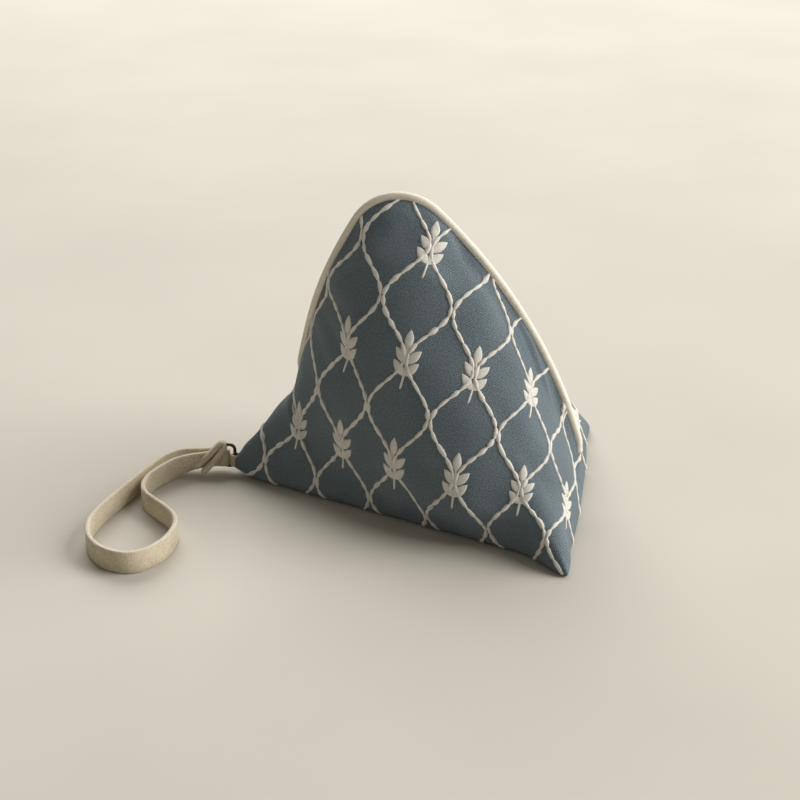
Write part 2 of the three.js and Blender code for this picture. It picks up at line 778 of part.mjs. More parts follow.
function ringBody() {
  const loop = new THREE.Path();
  const right = ringRight - ringBend;
  const left = ringLeft + ringBend;
  const rise = ringHalfHeight - ringBend;
  loop.absarc(right, ringHeight + rise, ringBend, 0, Math.PI / 2, false);
  loop.absarc(left, ringHeight + rise, ringBend, Math.PI / 2, Math.PI, false);
  loop.absarc(left, ringHeight - rise, ringBend, Math.PI, (Math.PI * 3) / 2, false);
  loop.absarc(right, ringHeight - rise, ringBend, (Math.PI * 3) / 2, Math.PI * 2, false);
  loop.closePath();
  const cornerWire = (curve) => curve.getPoints(ringCornerSteps)
    .map((point, k) => ({ point, along: curve.getTangent(k / ringCornerSteps) }));
  const centres = loop.curves.filter((curve) => curve.isEllipseCurve).flatMap(cornerWire);
  const points = [];
  const triangles = [];
  centres.forEach(({ point, along }, row) => {
    for (let k = 0; k < wireSides; k += 1) {
      const angle = (2 * Math.PI * k) / wireSides;
      const out = ringWireRadius * Math.cos(angle);
      points.push(new THREE.Vector3(
        point.x + along.y * out, ringWireRadius * Math.sin(angle), point.y - along.x * out,
      ));
      const next = ((row + 1) % centres.length) * wireSides;
      const a = row * wireSides + k;
      const b = row * wireSides + ((k + 1) % wireSides);
      const c = next + k;
      const d = next + ((k + 1) % wireSides);
      triangles.push([a, c, b], [b, c, d]);
    }
  });
  return body(points, triangles);
}

addPart('strap_ring', ringBody(), ringFinish);

// Tab: a strip folded round the ring's bar, with both tails sewn into the corner
function foldedStrip(barX, inside, thickness, tailX, opensRight) {
  const turn = opensRight ? 1 : -1;
  const outside = inside + thickness;
  const shape = new THREE.Shape();
  shape.moveTo(tailX, turn * outside);
  shape.lineTo(barX, turn * outside);
  shape.absarc(barX, 0, outside, turn * Math.PI / 2, turn * Math.PI * 1.5, false);
  shape.lineTo(tailX, -turn * outside);
  shape.lineTo(tailX, -turn * inside);
  shape.lineTo(barX, -turn * inside);
  shape.absarc(barX, 0, inside, turn * Math.PI * 1.5, turn * Math.PI / 2, true);
  shape.lineTo(tailX, turn * inside);
  shape.closePath();
  return shape;
}

const wrapInside = ringWireRadius + runGap;
const tabShape = foldedStrip(ringBarX, wrapInside, tabThickness, tabTail, true);
addPart('corner_tab', extrudedAlong(tabShape, tabWidth, tabHeight - tabWidth / 2), strapFinish);

// Hitch: the strap's bight goes round the ring and closes on both strands as a leaning collar
const hitchEndX = ringLeft - hitchReach;
const strandOffset = wrapInside + strapThickness / 2;

function hitchBody() {
  const halfWidth = hitchWidth / 2;
  const halfDepth = wrapInside + strapThickness;
  const bightShape = foldedStrip(ringLeft, wrapInside, strapThickness, hitchEndX, false);
  const bight = extrudedAlong(bightShape, hitchWidth, ringHeight - halfWidth);
  const outerDepth = halfDepth + collarWall;
  const outerWidth = halfWidth + collarWall;
  const shape = new THREE.Shape(boxSection(-outerDepth, outerDepth, -outerWidth, outerWidth));
  const holeDepth = halfDepth - strapThickness / 3;
  const holeWidth = halfWidth - strapThickness / 3;
  shape.holes.push(new THREE.Path(boxSection(-holeDepth, holeDepth, -holeWidth, holeWidth)));
  const collar = extrudedAlong(shape, collarWidth, -collarWidth / 2)
    .rotateX(Math.PI / 2)
    .rotateZ(Math.PI / 2)
    .rotateY(toRadians(collarLean))
    .translate((hitchEndX + ringLeft - wrapInside) / 2, 0, ringHeight);
  return joined([bight, collar]);
}

addPart('strap_hitch', hitchBody(), strapFinish);

// Loop of the strap: a strip on edge along its route, a little higher where it meets the hitch
function strapBody() {
  const startX = hitchEndX - runGap;
  const leads = [startX, startX - strapLead];
  const route = [
    ...leads.map((x) => [x, strandOffset]),
    ...strapRoute,
    ...leads.reverse().map((x) => [x, -strandOffset]),
  ];
  const line = new THREE.CatmullRomCurve3(route.map(([x, y]) => new THREE.Vector3(x, y, 0)));
  const length = line.getLength();
  const half = strapThickness / 2;
  const points = [];
  const triangles = [];
  for (let row = 0; row <= strapSteps; row += 1) {
    const share = row / strapSteps;
    const point = line.getPointAt(share);
    const along = line.getTangentAt(share);
    const aside = new THREE.Vector3(-along.y, along.x, 0).normalize();
    const fromEnd = Math.min(share, 1 - share) * length;
    const low = strapFloorGap + strapRise * (1 - smooth(fromEnd, 0, strapRiseRun));
    for (const [sideways, rise] of [[-half, 0], [half, 0], [half, strapWidth], [-half, strapWidth]]) {
      points.push(point.clone().addScaledVector(aside, sideways).setZ(low + rise));
    }
    if (row < strapSteps) {
      for (let k = 0; k < 4; k += 1) {
        const a = row * 4 + k;
        const b = row * 4 + ((k + 1) % 4);
        triangles.push([a, a + 4, b], [b, a + 4, b + 4]);
      }
    }
  }
  const end = strapSteps * 4;
  triangles.push([0, 1, 2], [0, 2, 3], [end, end + 2, end + 1], [end, end + 3, end + 2]);
  return body(points, triangles);
}

addPart('strap_loop', strapBody(), strapFinish);

// The origin is on the table under the middle of the pouch, measured without the strap
pouch.updateMatrixWorld(true);
const bounds = new THREE.Box3();
const strapParts = ['strap_hitch', 'strap_loop'];
for (const child of pouch.children) {
  if (!strapParts.includes(child.name)) {
    bounds.expandByObject(child, true);
  }
}
const middle = bounds.getCenter(new THREE.Vector3());
pouch.position.set(-middle.x, -middle.y, -bounds.min.z);

export default pouch;
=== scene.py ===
import bpy
import math
import random
import numpy as np
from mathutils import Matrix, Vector, noise as perlin
from mathutils.bvhtree import BVHTree
from mathutils.geometry import barycentric_transform


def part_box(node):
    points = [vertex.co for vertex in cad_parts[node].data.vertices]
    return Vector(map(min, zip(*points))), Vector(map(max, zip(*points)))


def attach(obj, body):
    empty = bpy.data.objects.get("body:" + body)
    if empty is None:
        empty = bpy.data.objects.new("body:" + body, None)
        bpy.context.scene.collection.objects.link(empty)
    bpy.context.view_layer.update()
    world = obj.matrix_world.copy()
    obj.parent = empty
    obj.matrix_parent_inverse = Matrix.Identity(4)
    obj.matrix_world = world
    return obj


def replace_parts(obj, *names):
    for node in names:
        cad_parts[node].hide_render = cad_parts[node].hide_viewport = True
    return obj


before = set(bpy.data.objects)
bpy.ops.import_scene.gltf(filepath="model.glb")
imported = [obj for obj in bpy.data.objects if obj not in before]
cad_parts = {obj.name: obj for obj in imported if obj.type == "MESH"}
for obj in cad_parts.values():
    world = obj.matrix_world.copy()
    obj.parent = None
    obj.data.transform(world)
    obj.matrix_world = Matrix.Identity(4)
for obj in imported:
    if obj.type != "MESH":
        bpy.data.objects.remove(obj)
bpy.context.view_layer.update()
scene = bpy.context.scene
mm = 0.001  # shapes are in mm, the frame in m
mmPerUv = 10.0
tiny = 1e-9
tabTail = 6.0
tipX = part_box("corner_tab")[1].x / mm - tabTail  # the strap corner; shapes below count x from it
upright = np.array([0.0, 0, 1])
backward = np.array([0.0, 1, 0])


def toFrame(points):
    return (np.asarray(points, float) + [tipX, 0, 0]) * mm


def unit(v):
    return np.asarray(v, float) / np.linalg.norm(v)


def ease(x, low, high):
    t = np.clip((x - low) / (high - low), 0, 1)
    return t * t * (3 - 2 * t)


def blendTo(a, b, t):
    return a + (b - a) * t


def runAlong(points):  # how far each point lies from the first
    return np.concatenate([[0], np.cumsum(np.linalg.norm(np.diff(points, axis=0), axis=1))])


def onceRound(count):
    return [2 * math.pi * k / count for k in range(count)]


def addObject(name, data):
    item = bpy.data.objects.new(name, data)
    scene.collection.objects.link(item)
    return item


# camera: where the photograph was taken from, mm and degrees
cameraView = {"aim": (63.3, -13.1, 39.4), "azimuth": 9.3, "elevation": 23.9, "distance": 585.4, "lens": 75.0,
              "sensor": 36.0, "clipStart": 0.01}


def makeCamera(view):
    azimuth, elevation = math.radians(view["azimuth"]), math.radians(view["elevation"])
    back = np.array([math.sin(azimuth) * math.cos(elevation), -math.cos(azimuth) * math.cos(elevation),
                     math.sin(elevation)])
    data = bpy.data.cameras.new("photoCamera")
    data.lens, data.sensor_width, data.clip_start = view["lens"], view["sensor"], view["clipStart"]
    camera = addObject("photoCamera", data)
    camera.location = Vector(toFrame(np.array(view["aim"]) + back * view["distance"]))
    camera.rotation_euler = Vector(back).to_track_quat("Z", "Y").to_euler()
    scene.camera = camera


makeCamera(cameraView)
print("camera placed")


# node materials; bump heights are in m

def addNode(tree, kind, inputs=None, **settings):
    node = tree.nodes.new(kind)
    for key, value in settings.items():
        setattr(node, key, value)
    for key, value in (inputs or {}).items():
        if isinstance(value, bpy.types.NodeSocket):
            tree.links.new(value, node.inputs[key])
        else:
            node.inputs[key].default_value = value
    return node


def calc(tree, operation, a, b=0.0, c=0.0):
    return addNode(tree, "ShaderNodeMath", {0: a, 1: b, 2: c}, operation=operation).outputs[0]


def vectorCalc(tree, operation, a, b):
    return addNode(tree, "ShaderNodeVectorMath", {0: a, 1: b}, operation=operation).outputs[0]


def weighted(tree, values, shares):  # sum of the values, each times its share
    parts = [calc(tree, "MULTIPLY", value, share) for value, share in zip(values, shares)]
    total = parts[0]
    for part in parts[1:]:
        total = calc(tree, "ADD", total, part)
    return total


def rgb(r, g, b):  # from screen values to linear light
    return tuple((c / 255 / 12.92 if c <= 10 else ((c / 255 + 0.055) / 1.055) ** 2.4) for c in (r, g, b)) + (1.0,)


def startMaterial(name, roughness, metallic=0.0, sheen=0.0):
    material = bpy.data.materials.new(name)
    material.use_nodes = True
    tree = material.node_tree
    shader = tree.nodes["Principled BSDF"]
    shader.inputs["Roughness"].default_value = roughness
    shader.inputs["Metallic"].default_value = metallic
    shader.inputs["Sheen Weight"].default_value = sheen
    return material, tree, shader


def uvPlace(tree, name):
    return addNode(tree, "ShaderNodeUVMap", uv_map=name).outputs["UV"]


def objectPlace(tree):
    return addNode(tree, "ShaderNodeTexCoord").outputs["Object"]


def paint(tree, shader, tone, tones):  # base colour from a ramp over the tone
    node = addNode(tree, "ShaderNodeValToRGB", {0: tone})
    stops = node.color_ramp.elements
    stops[0].position, stops[0].color = tones[0]
    stops[1].position, stops[1].color = tones[-1]
    for position, color in tones[1:-1]:
        stops.new(position).color = color
    tree.links.new(node.outputs["Color"], shader.inputs["Base Color"])


def noise(tree, where, scale, detail=2.0, roughness=0.5):
    return addNode(tree, "ShaderNodeTexNoise", {"Vector": where, "Scale": scale, "Detail": detail,
                                                "Roughness": roughness}).outputs["Fac"]


def bump(tree, shader, height, distance):
    node = addNode(tree, "ShaderNodeBump", {"Height": height, "Distance": distance, "Strength": 1.0})
    tree.links.new(node.outputs["Normal"], shader.inputs["Normal"])


def plainWeave(tree, u, v, pitch):  # yarns that go over and under each other
    acrossWarp = calc(tree, "SINE", calc(tree, "MULTIPLY", u, math.pi / pitch))
    acrossWeft = calc(tree, "SINE", calc(tree, "MULTIPLY", v, math.pi / pitch))
    over = calc(tree, "GREATER_THAN", calc(tree, "MULTIPLY", acrossWarp, acrossWeft), 0.0)
    warp = calc(tree, "MULTIPLY", calc(tree, "ABSOLUTE", acrossWarp), over)
    weft = calc(tree, "MULTIPLY", calc(tree, "ABSOLUTE", acrossWeft), calc(tree, "SUBTRACT", 1.0, over))
    return calc(tree, "ADD", warp, weft)


# pitch in mm; noises are scale, detail and roughness; shares weigh slub, weave and cloud
canvasLook = {"rough": 0.92, "sheen": 0.08, "pitch": 0.56, "wanderScale": 0.45, "wander": 0.5,
              "tones": [(0.36, rgb(80, 93, 101)), (0.56, rgb(101, 115, 123)), (0.8, rgb(138, 151, 158))],
              "slub": (1.5, 3.0, 0.7), "cloud": (0.05, 2.0), "toneShares": (0.62, 0.26, 0.16),
              "heightShares": (0.45, 1.2), "height": 0.00023}


def canvasMaterial(look):
    material, tree, shader = startMaterial("slateCanvas", look["rough"], sheen=look["sheen"])
    inMm = vectorCalc(tree, "MULTIPLY", uvPlace(tree, "weave"), (mmPerUv,) * 3)
    wander = addNode(tree, "ShaderNodeTexNoise", {"Vector": inMm, "Scale": look["wanderScale"], "Detail": 1.0})
    push = vectorCalc(tree, "MULTIPLY", wander.outputs["Color"], (look["wander"],) * 3)
    parts = addNode(tree, "ShaderNodeSeparateXYZ", {0: vectorCalc(tree, "ADD", inMm, push)})
    weave = plainWeave(tree, parts.outputs["X"], parts.outputs["Y"], look["pitch"])
    slub, cloud = noise(tree, inMm, *look["slub"]), noise(tree, inMm, *look["cloud"])
    paint(tree, shader, weighted(tree, (slub, weave, cloud), look["toneShares"]), look["tones"])
    bump(tree, shader, weighted(tree, (weave, slub), look["heightShares"]), look["height"])
    return material


# yarns in slanted strands; shares weigh the strands and an uneven noise
threadLook = {"rough": 0.62, "sheen": 0.15, "tones": [(0.15, rgb(214, 209, 198)), (0.75, rgb(240, 237, 229))],
              "slant": 0.35, "pitch": 0.34, "uneven": (900.0, 2.0), "toneShares": (0.5, 0.6),
              "heightShares": (1.0, 0.0), "height": 0.00008}
twillLook = {"rough": 0.85, "sheen": 0.1, "tones": [(0.2, rgb(228, 218, 200)), (0.8, rgb(250, 243, 229))],
             "slant": 1.0, "pitch": 0.8, "uneven": (700.0, 3.0), "toneShares": (0.3, 0.8),
             "heightShares": (1.0, 1.0), "height": 0.00008}
tapeLook = {**twillLook, "tones": [(0.2, rgb(168, 154, 128)), (0.8, rgb(206, 193, 168))], "pitch": 0.7,
            "height": 0.00005}
liningLook = {**twillLook, "tones": [(0.2, rgb(198, 188, 168)), (0.8, rgb(226, 217, 198))], "pitch": 0.5,
              "height": 0.00004}
cordLook = {**twillLook, "tones": [(0.2, rgb(206, 198, 182)), (0.8, rgb(236, 230, 216))], "pitch": 0.9,
            "height": 0.00006}


def yarnMaterial(name, look):
    material, tree, shader = startMaterial(name, look["rough"], sheen=look["sheen"])
    parts = addNode(tree, "ShaderNodeSeparateXYZ", {0: uvPlace(tree, "thread")})
    slant = calc(tree, "ADD", parts.outputs["X"], calc(tree, "MULTIPLY", parts.outputs["Y"], look["slant"]))
    strand = calc(tree, "SINE", calc(tree, "MULTIPLY", slant, 2 * math.pi * mmPerUv / look["pitch"]))
    strand = calc(tree, "MULTIPLY_ADD", strand, 0.5, 0.5)
    uneven = noise(tree, objectPlace(tree), *look["uneven"])
    paint(tree, shader, weighted(tree, (strand, uneven), look["toneShares"]), look["tones"])
    bump(tree, shader, weighted(tree, (strand, uneven), look["heightShares"]), look["height"])
    return material


# shares weigh the fine nap and rubbed patches
suedeLook = {"rough": 0.95, "sheen": 0.25, "nap": (2200.0, 3.0, 0.7), "rubbed": (130.0, 3.0), "shares": (0.75, 0.25),
             "tones": [(0.36, rgb(183, 167, 138)), (0.5, rgb(211, 197, 170)), (0.64, rgb(228, 217, 194))],
             "height": 0.0002}
cutEdgeLook = {**suedeLook,
               "tones": [(0.36, rgb(196, 182, 156)), (0.5, rgb(217, 205, 182)), (0.64, rgb(231, 221, 202))]}


def suedeMaterial(name, look):
    material, tree, shader = startMaterial(name, look["rough"], sheen=look["sheen"])
    place = objectPlace(tree)
    nap, rubbed = noise(tree, place, *look["nap"]), noise(tree, place, *look["rubbed"])
    paint(tree, shader, weighted(tree, (nap, rubbed), look["shares"]), look["tones"])
    bump(tree, shader, nap, look["height"])
    return material


# edges are worn brighter; rough goes from clean to tarnished
brassLook = {"rough": (0.3, 0.55), "tarnish": (900.0, 4.0, 0.6), "edgeWear": 2.2, "height": 0.00003,
             "tones": [(0.3, rgb(92, 74, 44)), (0.52, rgb(150, 126, 80)), (0.85, rgb(196, 172, 122))]}
bronzeLook = {**brassLook, "rough": (0.32, 0.55),
              "tones": [(0.3, rgb(38, 33, 27)), (0.52, rgb(72, 64, 52)), (0.85, rgb(120, 108, 90))]}


def metalMaterial(name, look):
    low, high = look["rough"]
    material, tree, shader = startMaterial(name, low, metallic=1.0)
    edge = addNode(tree, "ShaderNodeNewGeometry").outputs["Pointiness"]
    tarnish = noise(tree, objectPlace(tree), *look["tarnish"])
    wear = calc(tree, "MULTIPLY", calc(tree, "SUBTRACT", edge, 0.5), look["edgeWear"])
    paint(tree, shader, calc(tree, "ADD", wear, tarnish), look["tones"])
    tree.links.new(calc(tree, "MULTIPLY_ADD", tarnish, high - low, low), shader.inputs["Roughness"])
    bump(tree, shader, tarnish, look["height"])
    return material


slateCanvas = canvasMaterial(canvasLook)
creamThread = yarnMaterial("creamThread", threadLook)
creamTwill = yarnMaterial("creamTwill", twillLook)
zipWeave = yarnMaterial("zipWeave", tapeLook)
liningCotton = yarnMaterial("liningCotton", liningLook)
cordCotton = yarnMaterial("cordCotton", cordLook)
beigeSuede = suedeMaterial("beigeSuede", suedeLook)
cutEdge = suedeMaterial("cutEdge", cutEdgeLook)
agedBrass = metalMaterial("agedBrass", brassLook)
darkBronze = metalMaterial("darkBronze", bronzeLook)
print("materials ready")


# pieces from points and faces

def makePiece(name, points, faces, materials, body, uv=None, uvName="thread", smooth=True):
    mesh = bpy.data.meshes.new(name)
    mesh.from_pydata([tuple(p) for p in points], [], [tuple(int(i) for i in f) for f in faces])
    mesh.validate()
    for material in materials:
        mesh.materials.append(material)
    if uv is not None:
        layer = mesh.uv_layers.new(name=uvName)
        index = np.empty(len(mesh.loops), np.int32)
        mesh.loops.foreach_get("vertex_index", index)
        layer.data.foreach_set("uv", np.asarray(uv, np.float32)[index].ravel())
    if smooth:
        mesh.polygons.foreach_set("use_smooth", [True] * len(mesh.polygons))
    piece = addObject(name, mesh)
    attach(piece, body)
    return piece


def gridFaces(rows, columns, first=0, wrap=False):
    faces = []
    for r in range(rows - 1):
        for c in range(columns if wrap else columns - 1):
            a = first + r * columns + c
            b = first + r * columns + (c + 1) % columns
            faces.append((a, b, b + columns, a + columns))
    return faces


def cappedFaces(rows, columns, first=0):  # rings in a row with a flat face at each end
    last = first + (rows - 1) * columns
    return gridFaces(rows, columns, first, wrap=True) + [tuple(first + c for c in range(columns))[::-1],
                                                         tuple(last + c for c in range(columns))]


def faceOutward(piece):
    mesh = piece.data
    if sum(p.area * p.normal.dot(p.center) for p in mesh.polygons) < 0:
        mesh.flip_normals()
    return piece


def thicken(piece, thickness):  # cloth grows inward from its outer face
    modifier = piece.modifiers.new("cloth", "SOLIDIFY")
    modifier.thickness = thickness * mm
    modifier.offset = -1


def tubePiece(name, rings, materials, body, uvs):  # closed sections in a row, capped round a middle point
    rings = np.asarray(rings, float)
    rows, columns = rings.shape[:2]
    points = list(rings.reshape(-1, 3)) + [rings[0].mean(0), rings[-1].mean(0)]
    start, end, last = rows * columns, rows * columns + 1, (rows - 1) * columns
    faces = gridFaces(rows, columns, wrap=True)
    faces += [(start, (c + 1) % columns, c) for c in range(columns)]
    faces += [(end, last + c, last + (c + 1) % columns) for c in range(columns)]
    uvs = np.vstack([np.asarray(uvs).reshape(-1, 2), [[0, 0], [0, 0]]])
    return faceOutward(makePiece(name, points, faces, materials, body, uvs))


# arch of the zip, as in the frame: mm, x from the strap corner
archShape = {"tipHeight": 10.5, "waist": (23.0, 38.0), "waistBend": 6.0, "strapFlankRadius": 170.0,
             "crown": (62.0, 92.3), "crownRadius": 18.3, "endFlankRadius": 184.0, "end": (130.0, 7.0),
             "samples": (400, 800, 800, 1200), "tangentReach": 0.4}
driftShape = {"size": 8.0, "rises": (8.0, 26.0), "falls": (50.0, 85.0)}  # the zip lies to the back at the strap corner


def flankCentre(point, radius, side, shape):
    toCrown = np.array(shape["crown"]) - point
    gap = np.linalg.norm(toCrown)
    along = (radius ** 2 - (radius - shape["crownRadius"]) ** 2 + gap ** 2) / (2 * gap)
    aside = side * math.sqrt(radius ** 2 - along ** 2)
    forward = toCrown / gap
    return np.array([point[0] + forward[0] * along - forward[1] * aside,
                     point[1] + forward[1] * along + forward[0] * aside])


def arcPoints(centre, radius, start, end, count):
    a = math.atan2(*(np.array(start) - centre)[::-1])
    b = math.atan2(*(np.array(end) - centre)[::-1])
    if b > a:
        b -= 2 * math.pi
    t = np.linspace(a, b, count)
    return np.stack([centre[0] + radius * np.cos(t), centre[1] + radius * np.sin(t)], 1)


def makeArch(shape):
    waist, end, crown = np.array(shape["waist"]), np.array(shape["end"]), np.array(shape["crown"])
    strapCentre = flankCentre(waist, shape["strapFlankRadius"], -1, shape)
    endCentre = flankCentre(end, shape["endFlankRadius"], 1, shape)
    touches = [crown + unit(crown - c) * shape["crownRadius"] for c in (strapCentre, endCentre)]
    radial = waist - strapCentre
    pull = waist - unit([radial[1], -radial[0]]) * shape["waistBend"]
    counts = shape["samples"]
    t = np.linspace(0, 1, counts[0])[:, None]
    tip = np.array([0, shape["tipHeight"]])
    pieces = [(1 - t) ** 2 * tip + 2 * t * (1 - t) * pull + t ** 2 * waist,
              arcPoints(strapCentre, shape["strapFlankRadius"], waist, touches[0], counts[1]),
              arcPoints(crown, shape["crownRadius"], touches[0], touches[1], counts[2]),
              arcPoints(endCentre, shape["endFlankRadius"], touches[1], end, counts[3])]
    toCrown, overCrown = [sum(runAlong(p)[-1] for p in pieces[:n]) for n in (2, 3)]
    line = np.vstack([pieces[0]] + [p[1:] for p in pieces[1:]])
    run = runAlong(line)
    return {"line": line, "run": run, "length": run[-1], "crownStart": toCrown, "crownEnd": overCrown}


arch = makeArch(archShape)
cornerRib = (arch["crownStart"] + arch["crownEnd"]) / 2


def archAt(distance):  # a place on the arch, the way along it and the way out of it
    def spot(d):
        return np.array([np.interp(d, arch["run"], arch["line"][:, k]) for k in (0, 1)])

    d = min(max(distance, 0), arch["length"])
    x, z = spot(d)
    reach = archShape["tangentReach"]
    stepX, stepZ = unit(spot(min(d + reach, arch["length"])) - spot(max(d - reach, 0)))
    return np.array([x, 0, z]), np.array([stepX, 0, stepZ]), np.array([-stepZ, 0, stepX])


def driftAt(distance):
    return driftShape["size"] * ease(distance, *driftShape["rises"]) * (1 - ease(distance, *driftShape["falls"]))


def besideArch(distance, offset, outward):
    point, _, out = archAt(distance)
    return point + np.array([0, driftAt(distance) + offset, 0]) + out * outward


zipShape = {"offset": 1.0, "depth": 4.2, "tilt": 30.0, "start": 41.0, "endSetback": 30.0, "pitch": 2.4,
            "toothLength": 0.85, "halfWidth": 2.0, "tapeThickness": 0.4, "tapeGap": 0.3, "tapeTurn": 4.35,
            "tapeRound": 0.12, "frontDrop": 2.4, "backReach": 5.5, "tapeStart": 35.0, "tapeEndSetback": 13.0,
            "postRun": 1.8, "sweepStep": 1.2, "lowWeb": (27.5, 37.5), "topWeb": (6.5, 27.0), "webInset": 0.2,
            "webDepth": (1.3, 1.1), "webSink": 1.3, "webSteps": 14}


def zipAxes(distance):
    point, along, out = archAt(distance)
    tilt = math.radians(zipShape["tilt"])
    aside = backward * math.cos(tilt) - out * math.sin(tilt)
    up = backward * math.sin(tilt) + out * math.cos(tilt)
    return point + backward * (driftAt(distance) + zipShape["offset"]) - out * zipShape["depth"], along, aside, up


def besideChain(distance, aside, up):
    centre, _, asideAxis, upAxis = zipAxes(distance)
    return centre + asideAxis * aside + upAxis * up


# panels: ribs from the zip's edge over the swell and the fold to the base seam
panelShape = {"tipHalf": 4.5, "cornerX": 127.0, "cornerHalf": 54.0, "ear": 6.0, "earShare": 0.14, "earPower": 7,
              "endX": 130.0, "endBulge": 1.0, "baseSeamShare": 0.86, "baseEndSetback": 5.0, "outlineStep": 0.01,
              "frontSpread": 88.0, "backSpread": 40.0, "crownSpread": 14.0, "endSpread": 0.0,
              "spreadFalls": (35.0, 80.0), "endSpreadRun": 30.0, "pull": 0.34,
              "footLean": 0.25, "endLean": 0.45, "earLean": 0.75, "earRound": 0.3, "endRound": 0.65,
              "fold": 4.0, "tipFold": 2.4, "earFold": 1.6, "foldRun": 0.15, "endFoldRun": 0.3,
              "leastFold": 0.4, "mostFold": 0.6, "seamGap": 0.2, "frontRim": (4.6, 0.8), "backRim": (6.3, 4.6),
              "closedDepth": 1.5, "opens": (27.0, 34.0), "closes": (13.0, 6.0), "thickness": 0.9,
              "ribsToCorner": 56, "ribsPastCorner": 40, "faceSteps": 34, "foldSteps": 5, "baseSteps": 7,
              "flatFoldSteps": 3, "heldRibs": 3, "baseUvShift": 300.0}


def rimPoint(side, distance, shape):
    opening = ease(distance, *shape["opens"])
    closing = 1 - ease(distance, arch["length"] - shape["closes"][0], arch["length"] - shape["closes"][1])
    rim = shape["frontRim"] if side < 0 else shape["backRim"]
    offset = blendTo(shape["seamGap"], rim[0], opening * closing)
    depth = blendTo(shape["closedDepth"], rim[1], opening * closing)
    return besideArch(distance, side * offset, -depth)


def outlinePoint(g, ear, shape):  # base outline: g is 0 at the tip, 1 at the ear and 2 at the end seam
    if g <= 1:
        flare = ear * ease(g, 1 - shape["earShare"], 1)
        return np.array([shape["cornerX"] * g, blendTo(shape["tipHalf"], shape["cornerHalf"], g) + flare])
    t = g - 1
    x = blendTo(shape["cornerX"], shape["endX"], t) + shape["endBulge"] * math.sin(math.pi * t)
    return np.array([x, blendTo(shape["cornerHalf"] + ear, shape["seamGap"], t)])


def insetOutline(g, ear, inset, shape):
    step = shape["outlineStep"]

    def outward(a, b):
        run = unit(outlinePoint(b, ear, shape) - outlinePoint(a, ear, shape))
        return np.array([-run[1], run[0]])

    before = outward(max(g - step, 0), g if g > 0 else step)
    after = outward(g if g < 2 else 2 - step, min(g + step, 2))
    mitre = (before + after) / (1 + before.dot(after))
    return outlinePoint(g, ear, shape) - mitre * inset


def foldAt(g, shape):
    fromTip = blendTo(shape["tipFold"], shape["fold"], ease(g, 0, shape["foldRun"]))
    atEar = ease(abs(g - 1), 0, shape["foldRun"])
    atEnd = blendTo(shape["fold"], shape["tipFold"], ease(g, 1, 1 + shape["endFoldRun"]))
    return blendTo(shape["earFold"], fromTip if g < 1 else atEnd, atEar)


def spreadAt(side, distance, shape):
    strapSpread = shape["frontSpread"] if side < 0 else shape["backSpread"]
    toCrown = blendTo(strapSpread, shape["crownSpread"], ease(distance, *shape["spreadFalls"]))
    return blendTo(toCrown, shape["endSpread"], ease(distance, cornerRib, cornerRib + shape["endSpreadRun"]))


def leanAt(g, shape):
    plain = blendTo(shape["footLean"], shape["endLean"], ease(g, 1 - shape["earRound"], 1 + shape["endRound"]))
    away = (1 - g) / shape["earRound"] if g < 1 else (g - 1) / shape["endRound"]
    return blendTo(plain, shape["earLean"], (1 - min(away, 1)) ** 2)


def ribLine(side, distance, shape, inset=0.0, ear=None):  # rim, face, fold and base at one place of the arch
    ear = shape["ear"] if ear is None else ear
    g = distance / cornerRib if distance < cornerRib else 1 + (distance - cornerRib) / (arch["length"] - cornerRib)
    _, along, out = archAt(distance)
    inward = -out
    sideways = np.array([0, side, 0])
    plan = insetOutline(g, 0, inset, shape)
    flare = insetOutline(g, ear, inset, shape) - plan
    flare = np.array([flare[0], side * flare[1], 0])
    fold = max(foldAt(g, shape), inset + shape["leastFold"])
    foot = np.array([plan[0], side * max(plan[1], shape["seamGap"]), fold])
    rim = rimPoint(side, distance, shape)
    reach = foot - rim
    pull = np.linalg.norm(reach) * shape["pull"]
    spread = math.atan2(reach.dot(sideways), reach.dot(inward)) + math.radians(spreadAt(side, distance, shape))
    level = math.hypot(reach.dot(sideways), reach.dot(inward))
    leave = unit(inward * level * math.cos(spread) + sideways * level * math.sin(spread) + along * reach.dot(along))
    under = inward * math.sin(spread) - sideways * math.cos(spread)
    start = rim + under * inset
    seamY = driftAt(distance)
    start[1] = seamY + side * max(side * (start[1] - seamY), shape["seamGap"])
    lean = unit(np.append(-reach[:2] * leanAt(g, shape) / np.linalg.norm(reach[:2]), 1))
    t = np.linspace(0, 1, shape["faceSteps"] + 1)[:, None]
    face = ((1 - t) ** 3 * start + 3 * t * (1 - t) ** 2 * (start + leave * pull)
            + 3 * t ** 2 * (1 - t) * (foot + lean * pull) + t ** 3 * foot)
    face = face + flare * t ** shape["earPower"]
    foot = foot + flare
    seamX = shape["baseSeamShare"] * shape["cornerX"] * min(g, 1)
    if g > 1:
        seamX = blendTo(seamX, shape["endX"] - shape["baseEndSetback"], g - 1)
    seam = np.array([seamX, side * shape["seamGap"], 0])
    home = (seam - foot) * [1, 1, 0]
    turn = min(fold - inset, np.linalg.norm(home) * shape["mostFold"])
    home = unit(home)
    rounds = [foot + home * turn * (1 - math.cos(k)) + np.array([0, 0, -turn * math.sin(k)])
              for k in np.linspace(0, math.pi / 2, shape["foldSteps"] + 1)[1:]]
    flat = rounds[-1]
    base = [blendTo(flat, np.array([seam[0], seam[1], flat[2]]), k / shape["baseSteps"])
            for k in range(1, shape["baseSteps"] + 1)]
    return np.vstack([face, rounds, base])


def ribDistances(shape):
    toCorner = np.linspace(0, cornerRib, shape["ribsToCorner"] + 1)
    past = np.linspace(cornerRib, arch["length"], shape["ribsPastCorner"] + 1)[1:]
    return np.concatenate([toCorner, past])


ridgeShape = {"frontRounds": 45, "backRounds": 10, "strength": 0.9, "rows": (60.0, 95.0), "endRows": (45.0, 15.0),
              "top": (0.12, 0.4), "foot": (0.78, 0.97)}


